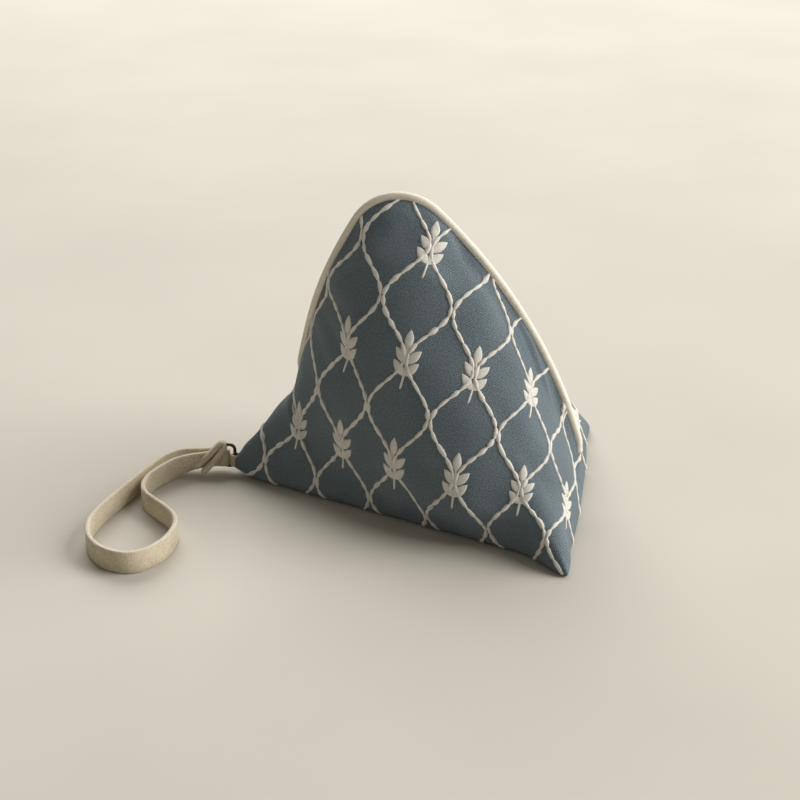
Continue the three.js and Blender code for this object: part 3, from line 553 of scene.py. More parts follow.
def easeRidge(grid, side, distances, shape):  # a full pouch has no sharp edge between its faces
    share = np.arange(grid.shape[1]) / panelShape["faceSteps"]
    across = ease(share, *shape["top"]) * (1 - ease(share, *shape["foot"]))
    farEnd, nearEnd = shape["endRows"]
    along = ease(distances, *shape["rows"]) * (1 - ease(distances - arch["length"], -farEnd, -nearEnd))
    weight = (shape["strength"] * along[:, None] * across[None, :])[1:-1, :, None]
    for step in range(shape["frontRounds"] if side < 0 else shape["backRounds"]):
        grid[1:-1] += weight * ((grid[:-2] + grid[2:]) / 2 - grid[1:-1])


endTuck = {"size": 1.9, "starts": (121.0, 129.0), "beside": (5.0, 18.0), "foot": (9.0, 17.0), "ears": (42.0, 56.0),
           "below": (30.0, 50.0)}


def tuckEnd(grid, shape):  # the end sinks a little between its seam and the ears
    x, y, z = grid[..., 0], np.abs(grid[..., 1]), grid[..., 2]
    beside = np.maximum(ease(y, *shape["beside"]), 1 - ease(z, *shape["foot"]))
    weight = ease(x, *shape["starts"]) * beside * (1 - ease(y, *shape["ears"]))
    grid[..., 0] -= shape["size"] * weight * (1 - ease(z, *shape["below"]))


noseShape = {"middle": 5.2, "tipShare": 0.42, "topRun": 4.0, "lowRun": 12.0}


def roundNose(grid, shape):  # the strap corner tapers to the tab
    x = np.maximum(grid[..., 0], 0)
    above = grid[..., 2] - shape["middle"]
    run = np.where(above > 0, shape["topRun"], shape["lowRun"])
    share = blendTo(shape["tipShare"], 1, np.sin(math.pi / 2 * np.clip(x / run, 0, 1)))
    grid[..., 2] = shape["middle"] + above * share


hemShape = {"under": 0.9, "raise": 0.3, "mostShare": 0.4}


def tuckRim(grid, side, distances, shape):  # the cloth rolls into the zip seam
    for r, d in enumerate(distances):
        opening = abs(grid[r, 0, 1] - driftAt(d)) - panelShape["seamGap"]
        under = min(shape["under"], opening * shape["mostShare"])
        grid[r, 0] += archAt(d)[2] * shape["raise"] * under / shape["under"] - np.array([0, side * under, 0])


puckerShape = {"size": 1.6, "wave": 13.0, "slowWave": 40.0, "seed": 3.7, "peak": 4.0, "fades": (8.0, 26.0),
               "slant": 0.55, "swellSize": 1.0, "swellWave": 34.0, "swellSeed": 9.1, "held": 7.0,
               "endRun": (12.0, 45.0)}


def outwardNormals(grid, side):
    normals = np.cross(np.gradient(grid, axis=0), np.gradient(grid, axis=1))
    normals /= np.maximum(np.linalg.norm(normals, axis=2, keepdims=True), tiny)
    facing = np.sign(normals[:, :panelShape["faceSteps"], 1].sum()) * side
    return normals * facing


def puckerCloth(grid, side, distances, shape):  # pulls along the zip seam and slow swells over the face
    columns = panelShape["faceSteps"] + 1
    normals = outwardNormals(grid, side)
    result = grid.copy()
    for r, d in enumerate(distances):
        run = runAlong(grid[r, :columns])
        fromEnds = ease(min(d, arch["length"] - d), *shape["endRun"])
        for c, s in enumerate(run):
            near = ease(s, 0, shape["peak"]) * (1 - ease(s, *shape["fades"]))
            pull = perlin.noise(Vector(((d - shape["slant"] * s) / shape["wave"], s / shape["slowWave"],
                                        shape["seed"] * side)))
            held = ease(s, 0, shape["held"]) * ease(run[-1] - s, 0, shape["held"])
            swell = perlin.noise(Vector((d / shape["swellWave"], s / shape["swellWave"], shape["swellSeed"] * side)))
            lift = shape["size"] * near * pull + shape["swellSize"] * held * swell
            result[r, c] += normals[r, c] * lift * fromEnds
    return result


clothSettings = {"frames": 26, "quality": 6, "mass": 0.3, "pressure": 3.0, "spare": -0.03, "bending": 3.0,
                 "tension": 30.0, "scale": 10.0, "cap": 6.0, "inward": 1.8, "freeFrom": (30.0, 75.0),
                 "endRun": (10.0, 55.0), "earRun": (12.0, 45.0), "endShare": 0.2, "backShare": 0.4}


# the cloth is pressed from inside with its edges held, in a copy ten times as large
def settleCloth(grid, side, pins, distances, settings):
    rows, columns = grid.shape[:2]
    scale = mm * settings["scale"]
    mesh = bpy.data.meshes.new("clothCopy")
    faces = gridFaces(rows, columns)
    if side > 0:
        faces = [f[::-1] for f in faces]
    mesh.from_pydata([tuple(p) for p in grid.reshape(-1, 3) * mm * settings["scale"]], [], faces)
    copy = addObject("clothCopy", mesh)
    group = copy.vertex_groups.new(name="held")
    for index, weight in enumerate(pins.ravel()):
        group.add([index], float(weight), "REPLACE")
    modifier = copy.modifiers.new("settle", "CLOTH")
    cloth = modifier.settings
    cloth.vertex_group_mass = "held"
    cloth.quality, cloth.mass = settings["quality"], settings["mass"]
    cloth.tension_stiffness = cloth.compression_stiffness = settings["tension"]
    cloth.bending_stiffness = settings["bending"]
    cloth.use_pressure = True
    cloth.uniform_pressure_force = settings["pressure"]
    cloth.shrink_min = settings["spare"]
    cloth.effector_weights.gravity = 0
    modifier.point_cache.frame_start, modifier.point_cache.frame_end = 1, settings["frames"]
    for step in range(1, settings["frames"] + 1):
        scene.frame_set(step)
    settled = copy.evaluated_get(bpy.context.evaluated_depsgraph_get())
    result = np.empty(rows * columns * 3)
    settled.data.vertices.foreach_get("co", result)
    scene.frame_set(1)
    bpy.data.objects.remove(copy)
    move = result.reshape(rows, columns, 3) / scale - grid
    normals = outwardNormals(grid, side)
    lift = (move * normals).sum(2, keepdims=True)
    move += normals * (np.maximum(lift, -settings["inward"]) - lift)
    size = np.linalg.norm(move, axis=2, keepdims=True)
    print("cloth moved up to", round(float(size.max()), 2), "mm, inward before the limit", round(-float(lift.min()), 2))
    atEnd = blendTo(1, settings["endShare"], ease(distances - cornerRib, *settings["endRun"]))
    free = (ease(distances, *settings["freeFrom"]) * atEnd)[:, None, None]
    free = free * (1 if side < 0 else settings["backShare"])
    earTip = np.array([panelShape["cornerX"], side * (panelShape["cornerHalf"] + panelShape["ear"]), 0])
    free = free * ease(np.linalg.norm(grid - earTip, axis=2, keepdims=True), *settings["earRun"])
    return grid + move * free * np.minimum(1, settings["cap"] / np.maximum(size, tiny))


def flattenFace(grid, columns):  # the face laid flat in mm, from the rim to part of the fold
    rows = grid.shape[0]
    cut = grid[:, :columns]
    mesh = bpy.data.meshes.new("flatCopy")
    faces = gridFaces(rows, columns)
    mesh.from_pydata([tuple(p) for p in cut.reshape(-1, 3)], [], faces)
    copy = addObject("flatCopy", mesh)
    mesh.uv_layers.new(name="flat")
    bpy.context.view_layer.objects.active = copy
    copy.select_set(True)
    bpy.ops.object.mode_set(mode="EDIT")
    bpy.ops.mesh.select_all(action="SELECT")
    bpy.ops.uv.unwrap(method="ANGLE_BASED", margin=0)
    bpy.ops.object.mode_set(mode="OBJECT")
    index = np.empty(len(mesh.loops), np.int32)
    mesh.loops.foreach_get("vertex_index", index)
    uv = np.empty(len(mesh.loops) * 2)
    mesh.uv_layers["flat"].data.foreach_get("uv", uv)
    flat = np.empty((rows * columns, 2))
    flat[index] = uv.reshape(-1, 2)
    bpy.data.objects.remove(copy)
    p, s = flat[np.array(faces)], cut.reshape(-1, 3)[np.array(faces)]
    one, other = p[:, 2] - p[:, 0], p[:, 3] - p[:, 1]
    flatArea = np.abs(one[:, 0] * other[:, 1] - one[:, 1] * other[:, 0]).sum() / 2
    area = np.linalg.norm(np.cross(s[:, 2] - s[:, 0], s[:, 3] - s[:, 1]), axis=1).sum() / 2
    flat = flat.reshape(rows, columns, 2) * math.sqrt(area / flatArea)
    corner, foot = panelShape["ribsToCorner"], panelShape["faceSteps"]
    origin = flat[0, foot].copy()
    level = unit(flat[corner, foot] - origin)
    turned = np.stack([(flat - origin) @ level, (flat - origin) @ np.array([-level[1], level[0]])], 2)
    if turned[corner, 0, 1] < 0:
        turned[..., 1] *= -1
    return turned


def makePanel(name, node, side, shape):
    distances = ribDistances(shape)
    grid = np.array([ribLine(side, d, shape) for d in distances])
    start = grid.copy()
    easeRidge(grid, side, distances, ridgeShape)
    tuckEnd(grid, endTuck)
    rows, columns = grid.shape[:2]
    faceColumns = shape["faceSteps"] + 1
    flatColumns = faceColumns + shape["flatFoldSteps"]
    flat = flattenFace(grid, flatColumns)
    pins = np.zeros((rows, columns))
    pins[:, 0] = pins[:, faceColumns:] = 1
    pins[:shape["heldRibs"]] = pins[-shape["heldRibs"]:] = 1
    grid = settleCloth(grid, side, pins, distances, clothSettings)
    grid = puckerCloth(grid, side, distances, puckerShape)
    roundNose(grid, noseShape)
    tuckRim(grid, side, distances, hemShape)
    baseUv = (grid[..., :2] + [0, shape["baseUvShift"]]) / mmPerUv
    uv = baseUv.copy()
    uv[:, :flatColumns] = flat / mmPerUv
    panel = makePiece(name, toFrame(grid.reshape(-1, 3)), gridFaces(rows, columns), [slateCanvas], "pouch",
                      uv.reshape(-1, 2), "weave")
    for polygon in panel.data.polygons:  # the base has its own piece of the weave
        if max(v % columns for v in polygon.vertices) == flatColumns:
            for loop in polygon.loop_indices:
                vertex = panel.data.loops[loop].vertex_index
                panel.data.uv_layers["weave"].data[loop].uv = baseUv.reshape(-1, 2)[vertex]
    if side > 0:
        panel.data.flip_normals()
    smoothing = panel.modifiers.new("rounded", "SUBSURF")
    smoothing.levels = smoothing.render_levels = 1
    smoothing.boundary_smooth = "PRESERVE_CORNERS"
    fine = bpy.data.meshes.new_from_object(panel.evaluated_get(bpy.context.evaluated_depsgraph_get()))
    panel.modifiers.remove(smoothing)
    panel.data = fine
    thicken(panel, shape["thickness"])
    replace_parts(panel, node)
    return panel, flat, grid - start


frontPanel, frontFlat, frontMove = makePanel("frontPanel", "front_panel", -1, panelShape)
backPanel, backFlat, backMove = makePanel("backPanel", "back_panel", 1, panelShape)
print("panels ready:", len(frontPanel.data.polygons), "faces each")


# lining: follows the panels from inside, mm
liningShape = {"setback": 30.0, "inset": 1.8, "thickness": 0.5, "firstColumn": 4, "uvStep": 0.25}


def makeLining(name, node, side, panelMove, shape):
    ribs = [ribLine(side, d, panelShape, shape["inset"], 0.0) + move
            for d, move in zip(ribDistances(panelShape), panelMove)
            if shape["setback"] < d < arch["length"] - shape["setback"]]
    grid = np.array(ribs)[:, shape["firstColumn"]:]
    rows, columns = grid.shape[:2]
    uv = np.stack(np.meshgrid(np.arange(columns), np.arange(rows)), 2).reshape(-1, 2) * shape["uvStep"]
    lining = makePiece(name, toFrame(grid.reshape(-1, 3)), gridFaces(rows, columns), [liningCotton], "pouch",
                       uv)
    if side > 0:
        lining.data.flip_normals()
    thicken(lining, shape["thickness"])
    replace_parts(lining, node)


makeLining("frontLining", "front_lining", -1, frontMove, liningShape)
makeLining("backLining", "back_lining", 1, backMove, liningShape)
print("lining ready")


# embroidery: curved lattice with leaf sprigs, laid out on the flat panel in mm
latticeShape = {"width": 23.0, "height": 36.0, "shift": (6.0, 9.0), "margin": 2.0, "step": 0.45, "thin": 0.33,
                "thick": 0.92, "touch": 0.55, "wander": 0.12, "wanderWave": 1.1, "wanderSeed": (7.3, 0.5),
                "bead": (2.9, 4.4), "beadSizes": (0.72, 1.12), "beadPower": 0.8, "jitter": (0.74, 1.14),
                "rise": 0.62, "seed": 5}
sprigShape = {"stem": 12.0, "stemDrop": 0.75, "stemSway": 0.5, "stemTurn": 3.0, "stemSteps": 24, "stemWidth": 0.42,
              "stemRise": 0.4, "leaf": 6.4, "leafWidth": 1.55, "leafPower": 0.75, "leastShare": 0.06, "foot": 1.12,
              "taper": 0.3, "rise": 0.55, "crownPower": 0.6, "sink": 0.3, "groove": 0.4, "grooveWidth": 0.22,
              "uvAcross": 2.2, "pairs": (0.28, 0.62), "lean": 42.0, "alongSteps": 12, "acrossSteps": 6,
              "clear": ((0, 0), (6, 0), (-6, 0), (0, 9), (0, -9))}
stitchShape = {"sides": 8, "shown": 6, "endStep": 0.6, "endSink": 0.15, "leastRise": 0.45, "widthRise": 0.55,
               "fullWidth": 0.86, "sink": -0.4, "lowest": 1.2, "flatLimit": 250.0, "flatGap": 0.02}


class PanelSurface:  # finds the place on a panel of a point of its flat shape
    def __init__(self, panel):
        mesh = panel.data
        mesh.calc_loop_triangles()
        layer = mesh.uv_layers["weave"].data
        self.spots, self.places, self.normals = [], [], []
        for triangle in mesh.loop_triangles:
            uv = [layer[loop].uv for loop in triangle.loops]
            if max(p[1] for p in uv) > stitchShape["flatLimit"] / mmPerUv:
                continue
            corners = [mesh.vertices[v] for v in triangle.vertices]
            self.spots.append([Vector((p[0] * mmPerUv, p[1] * mmPerUv, 0)) for p in uv])
            self.places.append([corner.co.copy() for corner in corners])
            self.normals.append([corner.normal.copy() for corner in corners])
        flatPoints = [p for spot in self.spots for p in spot]
        self.tree = BVHTree.FromPolygons(flatPoints, [(3 * k, 3 * k + 1, 3 * k + 2) for k in range(len(self.spots))])

    def at(self, p, q):
        spot = Vector((p, q, 0))
        hit, _, index, gap = self.tree.find_nearest(spot)
        if hit is None or gap > stitchShape["flatGap"]:
            return None
        place = barycentric_transform(spot, *self.spots[index], *self.places[index])
        facing = barycentric_transform(spot, *self.spots[index], *self.normals[index])
        if place.z < stitchShape["lowest"] * mm:
            return None
        return np.array(place) / mm, np.array(facing.normalized())


class StitchMesh:  # gathers the stitched shapes of one panel
    def __init__(self):
        self.points, self.faces, self.uvs = [], [], []

    def addRings(self, rings):  # rings of places and their uvs
        self.faces.extend(cappedFaces(len(rings), len(rings[0]), len(self.points)))
        for ring in rings:
            self.points.extend(place for place, uv in ring)
            self.uvs.extend(uv for place, uv in ring)

    def addLine(self, surface, line, widths, rise):
        shape = stitchShape
        runs = [[]]
        for spot, width in zip(line, widths):
            found = surface.at(*spot)
            if found is None:
                runs.append([])
            else:
                runs[-1].append((*found, width))
        for run in runs:
            if len(run) < shape["shown"]:
                continue
            for end, inner in ((0, 2), (-1, -3)):  # both ends run on under the seams
                place, facing, width = run[end]
                step = unit(place - run[inner][0]) * shape["endStep"]
                more = [(place + step * n - facing * shape["endSink"] * n, facing, width) for n in (1, 2)]
                run = more[::-1] + run if end == 0 else run + more
            places = np.array([r[0] for r in run])
            tangents, length = np.gradient(places, axis=0), runAlong(places)
            rings = []
            for k, (place, facing, width) in enumerate(run):
                across = unit(np.cross(facing, unit(tangents[k])))
                height = rise * (shape["leastRise"] + shape["widthRise"] * width / shape["fullWidth"])
                ring = []
                for angle in onceRound(shape["sides"]):
                    x = width * math.cos(angle)
                    h = height * max(math.sin(angle), shape["sink"])
                    ring.append((place + across * x + facing * h, (length[k] / mmPerUv, x / mmPerUv)))
                rings.append(ring)
            self.addRings(rings)

    def addLeaf(self, surface, base, angle, shape):
        rings = []
        ahead = np.array([math.cos(angle), math.sin(angle)])
        beside = np.array([-ahead[1], ahead[0]])
        for t in np.arange(shape["alongSteps"] + 1) / shape["alongSteps"]:
            share = max(math.sin(math.pi * t) ** shape["leafPower"], shape["leastShare"])
            half = shape["leafWidth"] * share * (shape["foot"] - shape["taper"] * t)
            ring = []
            for turn in onceRound(2 * shape["acrossSteps"]):
                x, crown = half * math.cos(turn), math.sin(turn)
                found = surface.at(*(base + ahead * shape["leaf"] * t + beside * x))
                if found is None:
                    return
                rise = shape["rise"] * (half / shape["leafWidth"]) ** shape["crownPower"]
                rise *= crown if crown > 0 else shape["sink"] * crown
                if crown > 0:  # a groove along the middle
                    depth = shape["groove"] * shape["rise"] * math.exp(-(x / shape["grooveWidth"]) ** 2)
                    rise -= depth * min(1, half)
                uv = (shape["leaf"] * t / mmPerUv, abs(x) * shape["uvAcross"] / mmPerUv)
                ring.append((found[0] + found[1] * rise, uv))
            rings.append(ring)
        self.addRings(rings)

    def addSprig(self, surface, foot, shape):
        def stemAt(t):
            return foot + np.array([shape["stemSway"] * math.sin(shape["stemTurn"] * t), shape["stem"] * t])

        stem = [stemAt(t) for t in np.linspace(0, 1, shape["stemSteps"])]
        self.addLine(surface, stem, [shape["stemWidth"]] * len(stem), shape["stemRise"])
        self.addLeaf(surface, stem[-1], math.pi / 2, shape)
        for share in shape["pairs"]:
            for turn in (-1, 1):
                self.addLeaf(surface, stemAt(share), math.pi / 2 + turn * math.radians(shape["lean"]), shape)


def beadWidths(count, shape, dice):
    widths = []
    while len(widths) < count:
        length = dice.uniform(*shape["bead"])
        thick = shape["thick"] * dice.uniform(*shape["beadSizes"])
        samples = max(3, round(length / shape["step"]))
        for k in range(samples):
            swell = math.sin(math.pi * k / samples) ** shape["beadPower"] * dice.uniform(*shape["jitter"])
            widths.append(blendTo(shape["thin"], thick, swell))
    return widths[:count]


def makeEmbroidery(name, panel, flat, shape, sprig):
    dice = random.Random(shape["seed"])
    surface, stitches = PanelSurface(panel), StitchMesh()
    low, high = flat.reshape(-1, 2).min(0), flat.reshape(-1, 2).max(0)
    half, height = shape["width"] / 2, shape["height"]
    shiftX, shiftY = shape["shift"]
    first, last = math.floor(low[0] / half) - 2, math.ceil(high[0] / half) + 2
    for k in range(first, last):
        sway = (-1) ** k * (half / 2 - shape["thick"] * shape["touch"])
        line = []
        for q in np.arange(low[1] - shape["margin"], high[1] + shape["margin"], shape["step"]):
            seedX, seedY = shape["wanderSeed"]
            wander = shape["wander"] * perlin.noise(Vector((q / shape["wanderWave"], k * seedX, seedY)))
            line.append((k * half + shiftX + sway * math.cos(2 * math.pi * (q - shiftY) / height) + wander, q))
        stitches.addLine(surface, line, beadWidths(len(line), shape, dice), shape["rise"])
    for k in range(first, last, 2):
        for n in range(math.floor(low[1] / height) - 1, math.ceil(high[1] / height) + 1):
            centre = np.array([(k + 0.5) * half + shiftX, shiftY + (n + 0.5) * height])
            if all(surface.at(*(centre + step)) is not None for step in sprig["clear"]):
                stitches.addSprig(surface, centre - [0, sprig["stem"] * sprig["stemDrop"]], sprig)
    makePiece(name, np.array(stitches.points) * mm, stitches.faces, [creamThread], "pouch", stitches.uvs)
    print(name, "has", len(stitches.faces), "faces")


makeEmbroidery("frontStitches", frontPanel, frontFlat, latticeShape, sprigShape)
makeEmbroidery("backStitches", backPanel, backFlat, latticeShape, sprigShape)


# piping on the front edge: a bias-cut cover over a twisted cord, mm
pipingShape = {"offset": 3.0, "radius": 1.5, "core": 0.6, "start": 38.0, "endSetback": 13.0, "step": 0.7, "sides": 20,
               "ribHeight": 0.07, "ribPitch": 1.2, "ribTurns": 5, "twist": 0.9, "lobes": 3, "lobe": 0.14,
               "dive": 0.9, "diveRun": 5.0}


def makePiping(shape):
    end = arch["length"] - shape["endSetback"]
    rings = {"cover": [], "core": []}
    uvs = {"cover": [], "core": []}
    for d in np.linspace(shape["start"], end, int((end - shape["start"]) / shape["step"])):
        dive = shape["dive"] * (1 - ease(min(d - shape["start"], end - d), 0, shape["diveRun"]))
        for part in rings:
            ring, uv = [], []
            for angle in onceRound(shape["sides"]):
                turn = angle if part == "cover" else angle + d * shape["twist"]
                if part == "cover":
                    rib = math.sin(2 * math.pi * (d / shape["ribPitch"]) + angle * shape["ribTurns"])
                    radius, around = shape["radius"] + shape["ribHeight"] * rib, shape["radius"]
                else:
                    lobe = 1 - shape["lobe"] + shape["lobe"] * math.cos(shape["lobes"] * turn)
                    radius, around = shape["core"] * lobe, shape["core"]
                ring.append(besideArch(d, -shape["offset"] + radius * math.cos(angle), radius * math.sin(angle) - dive))
                uv.append((d / mmPerUv, around * turn / mmPerUv))
            rings[part].append(ring)
            uvs[part].append(uv)
    cover = tubePiece("pipingCover", toFrame(rings["cover"]), [creamTwill], "pouch", uvs["cover"])
    core = tubePiece("pipingCore", toFrame(rings["core"]), [cordCotton], "pouch", uvs["core"])
    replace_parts(cover, "piping_cover")
    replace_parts(core, "piping_core")


makePiping(pipingShape)
print("piping ready")


# zip tapes and beaded edges, teeth and stops

def sweptSection(name, section, distances):
    rings = [[besideChain(d, x, y) for x, y in section] for d in distances]
    uvs = [[(d / mmPerUv, r / mmPerUv) for r in runAlong(section)] for d in distances]
    return tubePiece(name, toFrame(rings), [zipWeave], "pouch", uvs)


def roundedSection(corners, radius, steps=3):  # corners of a section with small rounds, counted once round
    corners = np.asarray(corners, float)
    points = []
    for k, corner in enumerate(corners):
        before, after = unit(corners[k - 1] - corner), unit(corners[(k + 1) % len(corners)] - corner)
        for t in np.linspace(0, 1, steps):
            points.append(corner + before * radius * (1 - t) ** 2 + after * radius * t ** 2)
    return np.array(points)


def makeTapes(shape):
    edge = shape["halfWidth"] + shape["tapeGap"]
    half, reach = shape["tapeThickness"] / 2, shape["backReach"]
    turn, drop = shape["tapeTurn"], shape["frontDrop"]
    front = [(-edge, -half), (-edge, half), (-turn, half), (-turn - half, -drop), (-turn + half, -drop),
             (-turn + half, -half)]
    back = [(edge, -half), (reach, -half), (reach, half), (edge, half)]
    distances = np.arange(shape["tapeStart"], arch["length"] - shape["tapeEndSetback"], shape["sweepStep"])
    for name, node, section in (("zipTapeFront", "zip_tape_front", front), ("zipTapeBack", "zip_tape_back", back)):
        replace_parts(sweptSection(name, roundedSection(section, shape["tapeRound"]), distances), node)
    for name, low, high in (("zipTapeLowEnd", *shape["lowWeb"]),
                            ("zipTapeTopEnd", *[arch["length"] - d for d in shape["topWeb"]])):
        rings, uvs = [], []
        for share in np.linspace(0, 1, shape["webSteps"]):  # the tapes' ends are sewn together across the mouth
            d = blendTo(low, high, share)
            out = archAt(d)[2]
            aside = backward * shape["webInset"]
            depths = [depth + shape["webSink"] * share for depth in shape["webDepth"]]
            front = rimPoint(-1, d, panelShape) + aside - out * depths[0]
            back = rimPoint(1, d, panelShape) - aside - out * depths[1]
            rings.append([front, back, back - out * shape["tapeThickness"], front - out * shape["tapeThickness"]])
            uvs.append([(d / mmPerUv, y / mmPerUv) for y in (front[1], back[1], back[1], front[1])])
        tubePiece(name, toFrame(rings), [zipWeave], "pouch", uvs)


# a tooth is a row of sections out from the chain's middle; a bead runs along each tape's edge
toothShape = {"stations": (-0.5, -0.25, 0.45, 1.05, 1.6), "halfLength": (0.26, 0.42, 0.34, 0.42, 0.42),
              "halfHeight": (0.5, 0.76, 0.74, 0.8, 0.66), "bevel": 0.16, "beadAside": 1.6, "beadHalf": (0.5, 0.55),
              "beadSides": 12}


def makeTeeth(shape, tooth):
    chainEnd = arch["length"] - shape["endSetback"]
    count = math.floor((chainEnd - shape["postRun"] - shape["start"]) / shape["pitch"])
    for name, node, side, shift in (("zipTeethFront", "zip_teeth_front", -1, 0.25),
                                    ("zipTeethBack", "zip_teeth_back", 1, 0.75)):
        points, faces = [], []
        for k in range(count):
            middle = shape["start"] + shift * shape["pitch"] + k * shape["pitch"] + shape["toothLength"] / 2
            centre, along, aside, up = zipAxes(middle)
            first = len(points)
            for x, a, h in zip(tooth["stations"], tooth["halfLength"], tooth["halfHeight"]):
                section = roundedSection([(-a, -h), (a, -h), (a, h), (-a, h)], tooth["bevel"], 2)
                points += [centre + aside * side * x + along * u + up * v for u, v in section]
            faces += cappedFaces(len(tooth["stations"]), len(section), first)
        if side > 0:
            faces = [f[::-1] for f in faces]
        teeth = makePiece(name, toFrame(points), faces, [agedBrass], "pouch", smooth=False)
        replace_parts(teeth, node)
        wide, high = tooth["beadHalf"]
        bead = [(side * (tooth["beadAside"] + wide * math.cos(t)), high * math.sin(t))
                for t in onceRound(tooth["beadSides"])]
        sweptSection(name.replace("Teeth", "Bead"), np.array(bead), np.arange(shape["start"], chainEnd,
                                                                              shape["sweepStep"]))


makeTapes(zipShape)
makeTeeth(zipShape, toothShape)
print("zip ready")


# metal pieces: the frame's own shapes with softened edges, widths in mm
softening = {"weld": 0.02, "segments": 2, "angle": 32.0,
             "widths": {"zip_slider": 0.16, "zip_pull": 0.2, "zip_bottom_stop": 0.3, "zip_top_stop_front": 0.3,
                        "zip_top_stop_back": 0.3},
             "bodies": {"zip_slider": "slider", "zip_pull": "pull"}}


def softenedCopy(node, settings):
    words = node.split("_")
    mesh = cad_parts[node].data.copy()
    mesh.materials.clear()
    mesh.materials.append(agedBrass)
    piece = addObject(words[0] + "".join(w.capitalize() for w in words[1:]), mesh)
    piece.modifiers.new("weld", "WELD").merge_threshold = settings["weld"] * mm
    edge = piece.modifiers.new("edge", "BEVEL")
    edge.width = settings["widths"][node] * mm
    edge.segments = settings["segments"]
    edge.limit_method = "ANGLE"
    edge.angle_limit = math.radians(settings["angle"])
    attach(piece, settings["bodies"].get(node, "pouch"))
    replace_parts(piece, node)


for node in softening["widths"]:
    softenedCopy(node, softening)
print("slider, pull and stops ready")


# ring, tab, hitch and strap, mm
ringShape = {"barX": -1.0, "wire": 0.6, "innerWidth": 3.3, "innerHeight": 7.4, "corner": 1.2, "height": 5.7,
             "lift": 0.8, "sides": 14, "cornerSteps": 8}


def ringLeft(shape):
    return shape["barX"] - shape["innerWidth"] - 2 * shape["wire"]


def makeRing(shape):
    bend, sides = shape["corner"] + shape["wire"], shape["sides"]
    right, left, half = shape["barX"] - bend, ringLeft(shape) + bend, shape["innerHeight"] / 2 + shape["wire"] - bend
    points = []
    for x, z, turn in ((right, half, 0), (left, half, 90), (left, -half, 180), (right, -half, 270)):
        for k in range(shape["cornerSteps"] + 1):
            a = math.radians(turn + 90 * k / shape["cornerSteps"])
            out = np.array([math.cos(a), 0, math.sin(a)])
            middle = np.array([x, 0, z + shape["height"] + shape["lift"]]) + out * bend
            points += [middle + (out * math.cos(t) + backward * math.sin(t)) * shape["wire"] for t in onceRound(sides)]
    last = len(points) - sides
    faces = gridFaces(len(points) // sides, sides, wrap=True)
    faces += [(last + c, last + (c + 1) % sides, (c + 1) % sides, c) for c in range(sides)]
    ring = faceOutward(makePiece("strapRing", toFrame(points), faces, [darkBronze], "strap"))
    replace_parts(ring, "strap_ring")


stripShape = {"edge": 0.3, "flatShare": 0.6, "cutFaces": (0, 1, 2, 5, 6, 7)}


def stripAlong(name, line, widths, up, thickness, body, edge=stripShape["edge"]):  # a suede strip with cut edges
    tangents = np.gradient(line, axis=0)
    thick = thickness / 2
    flat = thick * stripShape["flatShare"]
    points = []
    for place, tangent, half in zip(line, tangents, np.broadcast_to(widths, len(line)) / 2):
        across = unit(np.cross(up, tangent))
        section = [(-thick, -half + edge), (-flat, -half), (flat, -half), (thick, -half + edge), (thick, 0),
                   (thick, half - edge), (flat, half), (-flat, half), (-thick, half - edge), (-thick, 0)]
        points += [place + across * x + up * y for x, y in section]
    marks = [int(c in stripShape["cutFaces"]) for c in range(len(section))] * (len(line) - 1) + [1, 1]
    piece = makePiece(name, toFrame(points), cappedFaces(len(line), len(section)), [beigeSuede, cutEdge], body)
    piece.data.polygons.foreach_set("material_index", marks)
    return faceOutward(piece)


def smoothLine(route, count, spanSteps=16):  # an even line through the points of a route, and its length
    route = np.asarray(route, float)
    dense = []
    for k in range(len(route) - 1):
        p0, p3 = route[max(k - 1, 0)], route[min(k + 2, len(route) - 1)]
        p1, p2 = route[k], route[k + 1]
        for t in np.linspace(0, 1, spanSteps, endpoint=False):
            dense.append(0.5 * (2 * p1 + (p2 - p0) * t + (2 * p0 - 5 * p1 + 4 * p2 - p3) * t ** 2
                                + (3 * p1 - p0 - 3 * p2 + p3) * t ** 3))
    dense = np.array(dense + [route[-1]])
    run = runAlong(dense)
    even = np.linspace(0, run[-1], count)
    return np.stack([np.interp(even, run, dense[:, k]) for k in range(dense.shape[1])], 1), run[-1]


def halfTurn(x, radius, side, count):  # round a bar, from the back to the front
    return [(x + side * radius * math.sin(a), radius * math.cos(a)) for a in np.linspace(0, math.pi, count)]


def levelLine(route, count, height):
    line = smoothLine(route, count)[0]
    return np.column_stack([line, np.full(count, height)])


strapShape = {"width": 8.0, "thickness": 1.6, "floorGap": 0.2, "riseRun": 26.0, "endWidth": 6.0,
              "endRun": (2.0, 16.0), "edge": 0.35, "steps": 260,
              "backLead": [(-10.4, 0.5), (-13.4, -0.3), (-16.8, -1.0)],
              "frontLead": [(-15.8, -5.6), (-12.6, -4.0), (-10.2, -2.9)],
              "route": [(-20.5, -2.4), (-24.2, -5.8), (-27.0, -10.4), (-30.2, -20.5), (-33.3, -33), (-35.6, -43.5),
                        (-37, -52), (-37.1, -59.5), (-35.6, -66), (-32.8, -71.5), (-28.4, -76.3), (-23.2, -79.2),
                        (-17.9, -80), (-13.6, -78.3), (-10.4, -74.3), (-8, -68.8), (-7.1, -62.4), (-7.6, -56),
                        (-10, -50.5), (-14.2, -45.6), (-19.6, -40.8), (-24.2, -36.3), (-26.8, -31), (-27.3, -25),
                        (-26.1, -19.3), (-22.6, -12.6), (-19.2, -8.4)]}
